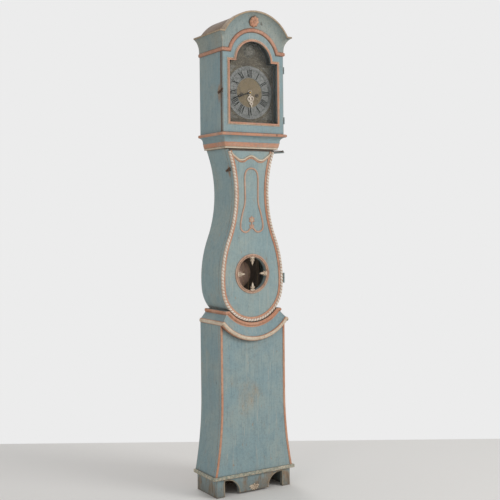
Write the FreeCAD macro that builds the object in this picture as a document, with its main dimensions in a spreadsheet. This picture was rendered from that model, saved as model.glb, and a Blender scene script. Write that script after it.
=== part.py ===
"""A painted longcase clock with a pear-shaped waist, as a parametric FreeCAD document.

The clock stands on z = 0 and faces -Y.  The origin is under the middle of the whole clock.
Depths are counted forward from the back of the case, heights from the floor.
"""
import FreeCAD, Part
import Sketcher
import math
import operator
import os
from collections import namedtuple
from types import SimpleNamespace

Vector = FreeCAD.Vector

# ----------------------------------------------------------------------------- driving sizes

SIZES = [
    # the whole case
    ("cornice_depth", 235, "back of the case to the front edge of the cornice"),
    ("side_board", 14, "thickness of the case's side boards"),
    ("back_board", 12, "thickness of the backboard"),
    ("wood_gap", 0.3, "gap left between curved boards"),
    # plinth and base
    ("plinth_top", 80, "height of the plinth boards"),
    ("plinth_half", 190, "half width of the plinth"),
    ("plinth_depth", 175, "depth of the plinth"),
    ("plinth_board", 18, "thickness of the plinth boards"),
    ("leg_inside", 150, "centre line to the inside of a foot"),
    ("arch_height", 71, "height of the cut arches beside the feet"),
    ("arch_radius", 62, "quarter round of the cut arches"),
    ("arch_flat", 13, "flat of the cut arches next to the foot"),
    ("apron_clearance", 8, "floor to the bottom of the apron"),
    ("plinth_bead", 14, "height of the moulding over the plinth"),
    ("plinth_bead_out", 7, "how far that moulding stands proud"),
    ("base_half", 165.5, "half width of the base where its sides are straight"),
    ("base_depth", 180, "depth of the base"),
    ("base_front_board", 16, "thickness of the base's front board"),
    ("bottom_board", 14, "thickness of the base's bottom board"),
    ("base_top", 750, "top of the base's boards"),
    ("flare_start", 430, "height where the base begins to flare"),
    ("flare_radius", 1700, "radius of the flare"),
    # collar between base and waist
    ("collar_radius", 217, "lower edge of the collar's crescent"),
    ("collar_centre", 892, "height of that edge's centre"),
    ("collar_depth", 206, "depth to the front of the collar's lower bead"),
    ("collar_half", 169, "half width of the collar's lower bead"),
    ("collar_top", 810, "top of the collar"),
    ("collar_top_half", 141, "half width of the collar's top bead"),
    ("collar_bead", 15, "width of the collar's top bead"),
    ("collar_low_bead", 18, "height of the collar's lower bead"),
    ("collar_rebate", 10, "lap of the crescent over the base's front"),
    # waist
    ("neck_half", 86.4, "half width of the waist at its neck"),
    ("neck_height", 1319, "height of the neck"),
    ("neck_radius", 528, "hollow curve of the neck"),
    ("shoulder_radius", 490, "curve from the neck out to the belly"),
    ("belly_radius", 157.3, "round of the belly"),
    ("belly_bottom", 756, "lowest point of the waist door"),
    ("waist_depth", 157, "depth of the waist behind its door"),
    ("waist_door_board", 20, "thickness of the waist door"),
    ("waist_door_top", 1510, "top of the waist door"),
    ("door_gap", 0.5, "gap behind the closed doors"),
    ("crescent_gap", 2.2, "gap between the door's round end and the crescent"),
    ("rope_width", 16, "width of the rope moulding"),
    ("rope_rise", 8, "how far the rope moulding stands proud"),
    ("window_radius", 73, "round window in the waist door"),
    ("window_height", 967, "height of the window's centre"),
    ("window_ring", 14, "width of the window's ring"),
    ("window_rise", 3, "how far the window's ring stands proud"),
    ("fleur_reach", 37, "from the window's centre to a fleur's tip"),
    ("cheek_rise", 71, "throat moulding's top to the top of the waist sides, under the seatboard"),
    ("seat_board", 18, "thickness of the seatboard"),
    ("rail_board", 9, "thickness of the rails behind the waist door"),
    # throat moulding, on which the hood stands
    ("throat_gap", 3, "top of the waist door to the underside of the throat moulding"),
    ("throat_height", 66, "height of the throat moulding"),
    ("throat_half", 132, "half width of its underside"),
    ("throat_depth", 181, "depth of its underside"),
    ("throat_out", 33, "how far its top stands out beyond its underside"),
    # hood
    ("hood_half", 153.5, "half width of the hood"),
    ("hood_board", 12, "thickness of the hood's sides"),
    ("hood_depth", 205, "depth to the front of the hood's door"),
    ("hood_gap", 0.3, "gap under the sliding hood"),
    ("runner", 12, "height of the hood's runners"),
    ("shoulder_rise", 26, "arched bead's centre to the underside of the bead at the hood's shoulders"),
    ("bead_width", 16, "width of the arched bead"),
    ("bead_rise", 6.5, "how far the arched bead stands proud"),
    ("bead_radius", 117, "inner radius of the arched bead"),
    ("bead_lift", 11, "spring of the opening's arch to the arched bead's centre"),
    ("crown_radius", 183, "outer radius of the crown"),
    ("crown_lift", 21, "arched bead's centre to the crown's centre"),
    ("crown_rise", 88, "crown's centre to the top of its shoulders"),
    ("crown_half", 182.7, "half width of the crown at its shoulders"),
    ("crown_edge", 6, "thickness of the crown's edge"),
    ("crown_back", 190, "depth of the back of the crown"),
    ("roof_board", 8, "thickness of the roof"),
    ("roof_drop", 5, "how far the roof lies below the crown's edge"),
    # hood door
    ("frame_board", 20, "thickness of the hood door"),
    ("frame_lip", 8, "thickness of the lip that laps over the hood's sides"),
    ("frame_gap", 1.2, "gap round the hood door"),
    ("sight_half", 121, "half width of the door's opening"),
    ("sight_sill", 45, "throat moulding's top to the bottom of the door's opening"),
    ("sight_height", 261, "bottom of that opening to the spring of its arch"),
    ("sight_radius", 88, "radius of the opening's arch"),
    ("sight_bead", 8, "width of the bead round the opening"),
    ("glass", 2.5, "thickness of the glass"),
    # dial and movement
    ("dial_depth", 168, "depth to the front of the dial"),
    ("dial_plate", 2, "thickness of the dial plate"),
    ("dial_half", 126, "half width of the dial plate"),
    ("dial_lap", 2, "how far the dial plate reaches below the door's opening"),
    ("dial_rise", 134, "bottom of the door's opening to the dial's centre"),
    ("ring_outer", 115, "outer radius of the chapter ring"),
    ("ring_inner", 64, "inner radius of the chapter ring"),
    ("ring_plate", 1.5, "thickness of the chapter ring"),
    ("boss_radius", 30, "radius of the boss in the arch"),
    ("boss_rise", 53, "spring of the opening's arch to the boss's centre"),
    ("winding_half", 38.5, "centre line to a winding arbor"),
    ("winding_drop", 10, "winding arbors below the dial's centre"),
    ("front_plate", 153, "depth of the front plate's back"),
    ("back_plate", 93, "depth of the back plate's front"),
    ("plate", 3, "thickness of the movement's plates"),
    ("plate_half", 77, "half width of the movement's plates"),
    ("plate_rise", 114, "dial's centre to the top of the movement's plates"),
    ("pivot_gap", 0.05, "running clearance of a shaft in its hole"),
    ("fine_arbor", 1.2, "radius of the thin arbors"),
    ("pipe_radius", 5.5, "radius of the hour hand's pipe"),
    ("winding_hole", 5.3, "radius of the winding holes"),
    ("great_teeth", 48, "teeth of a great wheel"),
    ("leaves", 6, "leaves of a pinion"),
    ("centre_teeth", 45, "teeth of the centre wheel"),
    ("third_teeth", 51, "teeth of the third wheel"),
    ("escape_teeth", 30, "teeth of the escape wheel"),
    ("cannon_teeth", 16, "teeth of the minute hand's wheel"),
    ("minute_teeth", 32, "teeth of the wheel that it drives"),
    ("hour_teeth", 36, "teeth of the hour hand's wheel"),
    ("escape_radius", 22.6, "tip radius of the escape wheel"),
    ("centre_pitch", 1.4, "module of the centre wheel"),
    ("third_pitch", 0.95, "module of the third wheel"),
    ("motion_pitch", 1.05, "module of the minute hand's wheels"),
    ("pin_wheel", 23.5, "radius of the striking pin wheel"),
    ("minute_turn", 252, "where the minute hand stands, clockwise from twelve"),
    ("hour_turn", 171, "where the hour hand stands"),
    ("escape_rise", 58, "dial's centre to the escape wheel's arbor"),
    ("suspension_rise", 90, "dial's centre to the height where the pendulum bends"),
    ("pendulum_depth", 62, "depth of the pendulum's plane"),
    ("bob_height", 962, "height of the bob's centre"),
    ("bob_radius", 62, "radius of the bob"),
    ("bob_thick", 26, "thickness of the bob"),
    ("rod_radius", 2, "radius of the pendulum's rod"),
    ("drum_depth", 122, "depth of the middle of a winding drum"),
    ("drum_radius", 25.2, "radius of a winding drum"),
    ("drum_length", 32, "length of a winding drum"),
    ("line_radius", 0.8, "radius of a gut line"),
    ("pulley_radius", 24.5, "radius of a pulley where the line runs"),
    ("pulley_height", 470, "height of the pulleys with the clock run down"),
    ("weight_radius", 24, "radius of a weight"),
    ("weight_length", 220, "length of a weight"),
    ("weight_top", 415, "height of a weight's top with the clock run down"),
    # hinges and latches
    ("strap_drop", 5.5, "waist door's top to the underside of its strap"),
    ("strap_bar", 5, "height of that strap"),
    ("waist_hinge_out", 163.5, "centre line to the waist door's hinge pins"),
    ("waist_hinge_depth", 181, "depth of those pins"),
    ("hood_hinge_out", 156.6, "centre line to the hood door's hinge pins"),
    ("hook_height", 8, "height of a hook's arm"),
    ("hook_lift", 20, "degrees that a resting hook stands lifted"),
    ("waist_hook_height", 1419, "height of the waist door's hook"),
    ("waist_hook_depth", 140, "depth of its pivot"),
    ("waist_hook_reach", 26, "its pivot to its peg"),
    ("waist_hook_stand", 5, "waist's side to the hook's near face"),
    ("hood_hook_drop", 4.5, "middle of the hood door's opening down to its hook"),
    ("hood_hook_depth", 172, "depth of its pivot"),
    ("hood_hook_reach", 29, "its pivot to its peg"),
    ("hood_hook_stand", 1, "hood's side to the hook's near face"),
    ("hook_plate", 3, "thickness of a hook"),
    ("peg_radius", 2, "radius of the pegs"),
    ("screw_radius", 2.5, "radius of the hooks' screws"),
]


class Size:
    """A number together with the sheet expression that it comes from."""

    def __init__(self, value, text):
        self.value = float(value)
        self.text = text

    def __float__(self):
        return self.value

    def __add__(self, other):
        return worked_out(self, "+", other)

    def __radd__(self, other):
        return worked_out(other, "+", self)

    def __sub__(self, other):
        return worked_out(self, "-", other)

    def __rsub__(self, other):
        return worked_out(other, "-", self)

    def __mul__(self, other):
        return worked_out(self, "*", other)

    def __rmul__(self, other):
        return worked_out(other, "*", self)

    def __truediv__(self, other):
        return worked_out(self, "/", other)

    def __neg__(self):
        return worked_out(0, "-", self)


OPERATIONS = {"+": operator.add, "-": operator.sub, "*": operator.mul, "/": operator.truediv}


def as_size(number):
    """A Size as it is, and a bare number as a Size that no cell drives."""
    return number if isinstance(number, Size) else Size(number, f"{float(number):.9g}")


def worked_out(left, sign, right):
    """Two sizes joined by an operation, as a value and as an expression."""
    first, second = as_size(left), as_size(right)
    value = OPERATIONS[sign](first.value, second.value)
    return Size(value, f"({first.text} {sign} {second.text})")


doc = FreeCAD.newDocument("LongcaseClock")
sheet = doc.addObject("Spreadsheet::Sheet", "Sizes")
for row, (alias, value, note) in enumerate(SIZES, start=1):
    sheet.set(f"A{row}", note)
    sheet.set(f"B{row}", str(value))
    sheet.setAlias(f"B{row}", alias)
doc.recompute()
S = SimpleNamespace(**{alias: Size(getattr(sheet, alias), f"Sizes.{alias}") for alias, _, _ in SIZES})

# heights that follow from the piece below
S.throat_bottom = S.waist_door_top + S.throat_gap
S.throat_top = S.throat_bottom + S.throat_height
S.cheek_top = S.throat_top + S.cheek_rise
S.sight_bottom = S.throat_top + S.sight_sill
S.sight_spring = S.sight_bottom + S.sight_height
S.bead_centre = S.sight_spring + S.bead_lift
S.shoulder_height = S.bead_centre + S.shoulder_rise
S.crown_centre = S.bead_centre + S.crown_lift
S.crown_shoulder = S.crown_centre + S.crown_rise
S.hood_hook_height = (S.sight_bottom + S.sight_spring) / 2 - S.hood_hook_drop
S.dial_bottom = S.sight_bottom - S.dial_lap
S.dial_centre = S.sight_bottom + S.dial_rise
S.boss_height = S.sight_spring + S.boss_rise
S.plate_top = S.dial_centre + S.plate_rise
S.escape_height = S.dial_centre + S.escape_rise
S.suspension_height = S.dial_centre + S.suspension_rise

BACK = S.cornice_depth / 2      # the case's back plane stands here in Y
NODES = []

# ----------------------------------------------------------------------------- building helpers

Bend = namedtuple("Bend", "middle end")     # an arc through its middle to its end


def bind(thing, prop, size):
    thing.setExpression(prop, as_size(size).text)


def put(thing, x=0, depth=0, z=0):
    """Ties an object's place to the sheet: x, depth from the back, height."""
    bind(thing, "Placement.Base.x", x)
    bind(thing, "Placement.Base.y", BACK - depth)
    bind(thing, "Placement.Base.z", z)
    return thing


def node(thing, label):
    """Names a finished sub-part."""
    thing.Label = label
    NODES.append(thing)
    return thing


def group(label, things):
    """Separate solids that share one sub-part."""
    compound = doc.addObject("Part::Compound", label)
    compound.Links = things
    return node(compound, label)


def end_of(step):
    return step.end if isinstance(step, Bend) else step


def flip(point):
    return (-point[0], point[1])


def backwards(path):
    """The same path, from its end to its start."""
    points = [end_of(step) for step in path]
    turned = [points[-1]]
    for step, before in zip(reversed(path[1:]), reversed(points[:-1])):
        turned.append(Bend(step.middle, before) if isinstance(step, Bend) else before)
    return turned


def flipped(path):
    """The path mirrored from right to left."""
    return [Bend(flip(s.middle), flip(s.end)) if isinstance(s, Bend) else flip(s) for s in path]


def mirrored(path):
    """A right-hand path from centre line to centre line, closed by its mirror image."""
    return list(path) + backwards(flipped(path))[1:]


def on_circle(centre, radius, angle):
    """A point on a circle, its angle in degrees from straight up, towards +X."""
    turn = math.radians(angle)
    return (float(centre[0]) + float(radius) * math.sin(turn),
            float(centre[1]) + float(radius) * math.cos(turn))


def arc_to(centre, radius, start, end):
    """The arc of a circle between two points on it, the short way."""
    middle = Vector(*end, 0) + Vector(*start, 0) - Vector(float(centre[0]), float(centre[1]), 0) * 2
    middle.normalize()
    return Bend((float(centre[0]) + middle.x * float(radius), float(centre[1]) + middle.y * float(radius)), end)


def across(radius, rise):
    """Half a circle's width at a height above or below its centre."""
    return math.sqrt(float(radius) ** 2 - float(rise) ** 2)


def flat(point):
    return Vector(float(point[0]), float(point[1]), 0)


def hold(sketch, geometry, position, point):
    """Two constraints, each bound to the sheet, that place one point of a sketch."""
    for kind, size in zip(("DistanceX", "DistanceY"), point):
        number = sketch.addConstraint(
            Sketcher.Constraint(kind, -1, 1, geometry, position, float(size)))
        if isinstance(size, Size):
            sketch.setExpression(f"Constraints[{number}]", size.text)


def draw(sketch, path):
    """A closed wire through the path, straight runs and arcs, every corner constrained."""
    edges = []
    start = path[0]
    for step in path[1:]:
        end = end_of(step)
        if isinstance(step, Bend):
            a, b, c = flat(start), flat(step.middle), flat(end)
            clockwise = (b - a).cross(c - b).z < 0
            arc = Part.Arc(c, b, a) if clockwise else Part.Arc(a, b, c)
            edge = sketch.addGeometry(arc, False)
            edges.append((edge, 2, 1) if clockwise else (edge, 1, 2))
            through = sketch.addGeometry(Part.Point(b), True)
            hold(sketch, through, 1, step.middle)
            sketch.addConstraint(Sketcher.Constraint("PointOnObject", through, 1, edge))
        else:
            edges.append((sketch.addGeometry(Part.LineSegment(flat(start), flat(end)), False), 1, 2))
        hold(sketch, edges[-1][0], edges[-1][1], start)
        start = end
    for here, after in zip(edges, edges[1:] + edges[:1]):
        sketch.addConstraint(Sketcher.Constraint("Coincident", here[0], here[2], after[0], after[1]))


def round_hole(sketch, centre, radius):
    """A circle in a sketch, its centre and radius bound to the sheet."""
    circle = sketch.addGeometry(Part.Circle(flat(centre), Vector(0, 0, 1), float(radius)), False)
    hold(sketch, circle, 3, centre)
    number = sketch.addConstraint(Sketcher.Constraint("Radius", circle, float(radius)))
    if isinstance(radius, Size):
        sketch.setExpression(f"Constraints[{number}]", radius.text)


def new_sketch(body, plane):
    """A sketch on one of the body's own origin planes."""
    sketch = body.newObject("Sketcher::SketchObject", body.Name + "Sketch")
    support = [feature for feature in body.Origin.OriginFeatures if feature.Role == plane][0]
    sketch.AttachmentSupport = [(support, "")]
    sketch.MapMode = "FlatFace"
    return sketch


def pad(body, plane, path, length, holes=()):
    """A padded profile with round holes and inner wires."""
    sketch = new_sketch(body, plane)
    draw(sketch, path)
    for hole in holes:
        if isinstance(hole[0], tuple) and len(hole) == 2:
            round_hole(sketch, *hole)
        else:
            draw(sketch, hole)
    feature = body.newObject("PartDesign::Pad", body.Name + "Pad")
    feature.Profile = sketch
    bind(feature, "Length", length)
    return feature


def front_board(name, near, far, path, holes=()):
    """A board seen from the front, between two depths."""
    body = doc.addObject("PartDesign::Body", name)
    pad(body, "XZ_Plane", path, far - near, holes)
    return put(body, depth=near)


def side_board(name, left, right, path):
    """A board seen from the side, its path in (depth, height)."""
    body = doc.addObject("PartDesign::Body", name)
    profile = [Bend((-s.middle[0], s.middle[1]), (-s.end[0], s.end[1])) if isinstance(s, Bend)
               else (-s[0], s[1]) for s in path]
    pad(body, "YZ_Plane", profile, right - left)
    return put(body, x=left)


def level_board(name, low, high, path, holes=()):
    """A board seen from above, its path in (x, depth)."""
    body = doc.addObject("PartDesign::Body", name)
    pad(body, "XY_Plane", [(x, -depth) for x, depth in path], high - low,
        [((x, -depth), radius) for (x, depth), radius in holes])
    return put(body, z=low)


def block(name, x, depth, z):
    """A box between two values each way."""
    box = doc.addObject("Part::Box", name)
    bind(box, "Length", x[1] - x[0])
    bind(box, "Width", depth[1] - depth[0])
    bind(box, "Height", z[1] - z[0])
    return put(box, x[0], depth[1], z[0])


def round_bar(name, x, z, radius, near, far):
    """A cylinder that runs from back to front."""
    bar = doc.addObject("Part::Cylinder", name)
    bar.Placement.Rotation = FreeCAD.Rotation(Vector(1, 0, 0), 90)
    bind(bar, "Radius", radius)
    bind(bar, "Height", far - near)
    return put(bar, x, near, z)


def post(name, x, depth, radius, low, high):
    """An upright cylinder."""
    bar = doc.addObject("Part::Cylinder", name)
    bind(bar, "Radius", radius)
    bind(bar, "Height", high - low)
    return put(bar, x, depth, low)


def fuse(name, things):
    union = doc.addObject("Part::MultiFuse", name)
    union.Shapes = things
    return union


def cut(name, base, tool):
    difference = doc.addObject("Part::Cut", name)
    difference.Base = base
    difference.Tool = tool
    return difference


def common(name, first, second):
    meeting = doc.addObject("Part::MultiCommon", name)
    meeting.Shapes = [first, second]
    return meeting


def turned(name, path, plane="XY_Plane", x=0, depth=0, z=0):
    """A solid of revolution: about Y from (radius, depth), or about Z from (radius, height)."""
    body = doc.addObject("PartDesign::Body", name)
    sketch = new_sketch(body, plane)
    sign = -1 if plane == "XY_Plane" else 1
    profile = [Bend((s.middle[0], sign * s.middle[1]), (s.end[0], sign * s.end[1])) if isinstance(s, Bend)
               else (s[0], sign * s[1]) for s in path]
    draw(sketch, profile + [profile[0]])
    feature = body.newObject("PartDesign::Revolution", name + "Turning")
    feature.Profile = sketch
    feature.ReferenceAxis = (sketch, ["V_Axis"])
    feature.Angle = 360
    return put(body, x, depth, z)


# ----------------------------------------------------------------------------- outlines


def waist_circles(inset):
    """The three tangent circles of the pear's right edge: belly, shoulder and neck."""
    belly = Vector(0, float(S.belly_bottom + S.belly_radius), 0)
    neck = Vector(float(S.neck_half + S.neck_radius), float(S.neck_height), 0)
    from_belly = float(S.shoulder_radius - S.belly_radius)
    from_neck = float(S.shoulder_radius + S.neck_radius)
    apart = (neck - belly).Length
    along = (from_belly ** 2 - from_neck ** 2 + apart ** 2) / (2 * apart)
    line = (neck - belly) / apart
    side = Vector(-line.y, line.x, 0)
    shoulder = belly + line * along + side * math.sqrt(from_belly ** 2 - along ** 2)
    return ((belly, float(S.belly_radius) - inset), (shoulder, float(S.shoulder_radius) - inset),
            (neck, float(S.neck_radius) + inset))


def waist_edge(inset, low, high):
    """The pear's right edge between two heights, moved inwards by the inset."""
    (belly, belly_r), (shoulder, shoulder_r), (neck, neck_r) = waist_circles(float(inset))
    low, high = float(low), float(high)
    first = belly + (belly - shoulder).normalize() * belly_r
    second = neck + (shoulder - neck).normalize() * neck_r
    start = (across(belly_r, low - belly.y), low)
    top = (neck.x - across(neck_r, high - neck.y), high)
    first, second = (first.x, first.y), (second.x, second.y)
    return [start, arc_to(belly, belly_r, start, first), arc_to(shoulder, shoulder_r, first, second),
            arc_to(neck, neck_r, second, top)]


def base_edge(inset, low, high):
    """The base's right edge: flared at the foot, straight above."""
    centre = (float(S.base_half + S.flare_radius), float(S.flare_start))
    radius = float(S.flare_radius) + float(inset)
    foot = (centre[0] - across(radius, float(low) - centre[1]), float(low))
    straight = (float(S.base_half) - float(inset), float(S.flare_start))
    return [foot, arc_to(centre, radius, foot, straight), (straight[0], float(high))]


def break_arch(out, bottom, half, spring, radius):
    """Half of a break-arch outline, moved outwards by a distance."""
    left = (0, bottom - out)
    corner = (half + out, bottom - out)
    shoulder = (half + out, spring + out)
    rise = float(out)
    foot = across(float(radius) + rise, rise)
    centre = (0, spring)
    start = (foot, float(spring) + rise)
    apex = (0, float(spring + radius) + rise)
    return [left, corner, shoulder, start, arc_to(centre, float(radius) + rise, start, apex)]


def hood_arch(radius, level):
    """The hood's arch: from a level shoulder line up and over, right half."""
    centre = (0, S.bead_centre)
    start = (across(radius, level - S.bead_centre), float(level))
    return start, arc_to(centre, radius, start, (0, float(S.bead_centre + radius)))


# ----------------------------------------------------------------------------- plinth and base

base_bottom_z = S.plinth_top
side_inner = S.side_board + S.wood_gap


def plinth():
    """Front board with two cut arches, two side boards, and the moulding over them."""
    round_top = S.leg_inside - S.arch_flat
    toe = round_top - S.arch_radius
    bend = Bend((round_top - S.arch_radius * 0.70710678, S.arch_height - S.arch_radius * 0.29289322),
                (round_top, S.arch_height))
    path = [(0, S.apron_clearance), (toe, S.apron_clearance), (toe, S.arch_height - S.arch_radius)]
    path += [bend, (S.leg_inside, S.arch_height),
             (S.leg_inside, 0), (S.plinth_half, 0), (S.plinth_half, S.plinth_top), (0, S.plinth_top)]
    front = front_board("PlinthFront", S.plinth_depth - S.plinth_board, S.plinth_depth, mirrored(path))
    node(front, "plinth_front")
    sides = []
    for name, left in (("Left", -S.plinth_half), ("Right", S.plinth_half - S.plinth_board)):
        sides.append(block("PlinthSide" + name, (left, left + S.plinth_board),
                           (0, S.plinth_depth - S.plinth_board), (0, S.plinth_top)))
    group("plinth_sides", sides)


def base():
    """Flared front and side boards, with the base's bottom board between them."""
    low = base_bottom_z
    scoop = S.collar_radius - S.collar_rebate
    scoop_half = across(scoop, S.collar_centre - S.base_top)
    scoop_low = (0, float(S.collar_centre - scoop))
    scoop_end = (scoop_half, float(S.base_top))
    half = [(0, low)] + base_edge(0, low, S.base_top) + [scoop_end]
    half.append(arc_to((0, S.collar_centre), scoop, scoop_end, scoop_low))
    front = front_board("BaseFront", S.base_depth - S.base_front_board, S.base_depth, mirrored(half))
    node(front, "base_front")
    outer = base_edge(0, low, S.base_top)
    inner = base_edge(S.side_board, low, S.base_top)
    path = outer + backwards(inner) + outer[:1]
    depth = S.base_depth - S.base_front_board
    group("base_sides", [front_board("BaseSideRight", 0, depth, path),
                         front_board("BaseSideLeft", 0, depth, flipped(path))])
    top = low + S.bottom_board
    bottom = [(0, low), base_edge(side_inner, low, S.base_top)[0], base_edge(side_inner, top, S.base_top)[0],
              (0, top)]
    node(front_board("BaseBottom", S.back_board + S.wood_gap, depth - S.wood_gap, mirrored(bottom)),
         "base_bottom")
    moulding()
    return front


def moulding():
    """The rounded moulding round three sides, over the seam of plinth and base."""
    low, high = S.plinth_top, S.plinth_top + S.plinth_bead
    edge = base_edge(0, low, high)[0][0]
    half = edge + S.plinth_bead_out
    depth = S.base_depth + S.plinth_bead_out
    round_radius = 4
    pieces = []
    front = doc.addObject("PartDesign::Body", "PlinthBeadFront")
    profile = [(-S.base_depth, 0), (-depth, 0), (-depth, S.plinth_bead - round_radius),
               Bend((-depth + round_radius * 0.3, S.plinth_bead - round_radius * 0.3),
                    (-depth + round_radius, S.plinth_bead)),
               (-S.base_depth, S.plinth_bead), (-S.base_depth, 0)]
    pad(front, "YZ_Plane", profile, half * 2)
    put(front, x=-half, z=low)
    pieces.append(front)
    for name, sign in (("Right", 1), ("Left", -1)):
        side = doc.addObject("PartDesign::Body", "PlinthBead" + name)
        path = [(edge, 0), (half, 0), (half, S.plinth_bead - round_radius),
                Bend((half - round_radius * 0.3, S.plinth_bead - round_radius * 0.3),
                     (half - round_radius, S.plinth_bead)), (edge, S.plinth_bead), (edge, 0)]
        path = path if sign > 0 else flipped(path)
        pad(side, "XZ_Plane", path, S.base_depth)
        put(side, z=low)
        pieces.append(side)
    group("plinth_moulding", pieces)


# ----------------------------------------------------------------------------- collar


def loft(name, sections, ruled=False):
    """A solid through closed sections."""
    return shaped_here(name, Part.makeLoft(sections, True, ruled))


def shaped_here(name, shape):
    """A solid made in code, already in the clock's own frame."""
    feature = doc.addObject("Part::Feature", name)
    feature.Shape = shape
    feature.Placement = FreeCAD.Placement()
    return feature


def ribbon_section(inner, outer, profile):
    """A moulding's closed section, from an inner to an outer point of the front view.

    The profile's steps are (share of the width, depth); the section's plane contains Y.
    """
    back = float(BACK)
    reach = (outer[0] - inner[0], outer[1] - inner[1])

    def place(point):
        share, depth = float(point[0]), float(point[1])
        return Vector(inner[0] + reach[0] * share, back - depth, inner[1] + reach[1] * share)

    edges = []
    start = profile[0]
    for step in profile[1:]:
        end = end_of(step)
        if isinstance(step, Bend):
            edges.append(Part.Arc(place(start), place(step.middle), place(end)).toShape())
        else:
            edges.append(Part.LineSegment(place(start), place(end)).toShape())
        start = end
    return Part.Wire(edges)


def collar_profile(width):
    """The crescent's section: bead against the door, hollow, and a broad lower bead."""
    top, low = float(S.collar_bead) / width, 1 - float(S.collar_low_bead) / width
    back = float(S.waist_depth) + 7
    board = float(S.base_depth)
    front = float(S.collar_depth)
    hollow = board + 5
    bead = 1 - low
    return [(0, back), (0, board + 4), (top * 0.3, board + 9.5), (top * 0.7, board + 9.5), (top, hollow),
            ((top + low) / 2, board + 8), (low, front - 8), (low, front - 4), (low + bead * 0.3, front - 0.5),
            (low + bead * 0.6, front - 0.5), (1, front - 6), (1, back), (0, back)]


def collar_side_edge():
    """The collar's right profile seen from the front, from its foot up to its top."""
    half, top_half = S.collar_half, S.collar_top_half
    low, bead_top = S.base_top, S.base_top + S.collar_low_bead
    top, neck = S.collar_top, S.collar_top - S.collar_bead
    return [(half - 2, low), Bend((half + 1.5, (low + bead_top) / 2), (half - 3, bead_top)),
            (half - 7, bead_top), Bend((top_half + 6, neck - 10), (top_half - 1, neck)),
            Bend((top_half + 3, (neck + top) / 2), (top_half, top))]


def collar(base_front):
    """The hollow moulding between base and waist: a crescent in front, a straight run each side."""
    gap = S.crescent_gap
    inner_centre, inner_radius = (0, S.belly_bottom + S.belly_radius), S.belly_radius + gap
    outer_centre, outer_radius = (0, S.collar_centre), S.collar_radius
    sections = []
    for place in range(-7, 8):
        angle = 180 - place * 9
        inner = on_circle(inner_centre, inner_radius, angle)
        outer = on_circle(outer_centre, outer_radius, angle)
        width = math.dist(inner, outer)
        sections.append(ribbon_section(inner, outer, collar_profile(width)))
    crescent = loft("CrescentLoft", sections, True)
    edge = collar_side_edge()
    limit = mirrored([(0, S.collar_centre - S.collar_radius - 5), (S.collar_half - 2, S.collar_centre
                      - S.collar_radius - 5)] + edge + [(0, S.collar_top)])
    ends = front_board("CrescentLimit", 100, S.collar_depth + 5, limit)
    trimmed = common("CrescentTrimmed", crescent, ends)
    node(cut("CollarFront", trimmed, base_front), "collar_front")
    inner = waist_edge(0, S.collar_top + 1, S.waist_door_top)[0][0] + float(S.wood_gap)
    depth = S.waist_depth + 7
    path = [(inner, S.base_top)] + edge + [(inner, S.collar_top), (inner, S.base_top)]
    group("collar_sides", [front_board("CollarSideRight", 0, depth, path),
                           front_board("CollarSideLeft", 0, depth, flipped(path))])


# ----------------------------------------------------------------------------- waist


def waist():
    """Curved sides, which run up as cheeks under the seatboard, and the rails behind the door."""
    low, high = S.collar_top + 1, S.waist_door_top
    outer = waist_edge(0, low, high)
    inner = waist_edge(S.side_board, low, high)
    cheek, cheek_inside = outer_end(outer), outer_end(inner)
    path = [(inner[0][0], S.base_top), (outer[0][0], S.base_top)] + outer
    path += [(cheek, S.cheek_top), (cheek_inside, S.cheek_top)]
    path += backwards(inner) + [(inner[0][0], S.base_top)]
    depth = S.waist_depth - S.door_gap
    right = node(front_board("WaistSideRight", 0, depth, path), "waist_side_right")
    node(front_board("WaistSideLeft", 0, depth, flipped(path)), "waist_side_left")
    rails(inner, cheek)
    backboard(cheek_inside)
    seatboard(cheek)
    return right


def outer_end(path):
    """The half width at the top of an edge."""
    return end_of(path[-1])[0]


def rails(inner, cheek):
    """The rail behind the door's round end, the rail behind its top, and the hood's battens."""
    front = S.waist_depth - S.door_gap
    back = front - S.rail_board
    belly = (0, S.belly_bottom + S.belly_radius)
    hollow = S.belly_radius - 24
    half = inner[0][0] - S.wood_gap
    low = S.base_top - 40
    top = belly[1] - across(hollow, 92)
    side = (92, float(top))
    path = [(0, low), (half, low), (half, top), side,
            arc_to(belly, hollow, side, (0, float(belly[1] - hollow)))]
    lower = front_board("LowerRail", back, front, mirrored(path))
    low = S.waist_door_top - 28
    half = end_of(waist_edge(S.side_board, S.collar_top, low)[-1])[0] - S.wood_gap
    upper = block("UpperRail", (-half, half), (back, front), (low, S.waist_door_top + 12))
    low = S.throat_top + S.runner + S.hood_gap * 2
    battens = [block("Batten" + name, (left, left + 12), (10, S.waist_depth - 10), (low, low + 14))
               for name, left in (("Right", cheek), ("Left", -cheek - 12))]
    group("case_rails", [lower, upper] + battens)


def backboard(cheek_inside):
    """One board from the base's bottom to the hood's roof, shaped to fit between the sides."""
    inset = side_inner
    foot = base_edge(inset, base_bottom_z, S.base_top)
    pear = waist_edge(inset, S.collar_top + 1, S.waist_door_top)
    neck = cheek_inside - S.wood_gap
    head = S.hood_half - S.hood_board - S.frame_gap
    # the head closes the hood's back, with room for the hood to slide off it
    radius = S.crown_radius - S.roof_drop - S.roof_board - S.frame_gap
    spring = (float(head), float(S.crown_centre) + across(radius, head))
    apex = (0, float(S.crown_centre + radius))
    path = [(0, float(base_bottom_z))] + foot + [(pear[0][0], float(S.base_top))] + pear
    path += [(neck, S.cheek_top), (head, S.cheek_top), spring,
             arc_to((0, S.crown_centre), radius, spring, apex)]
    node(front_board("Backboard", 0, S.back_board, mirrored(path)), "backboard")


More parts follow.
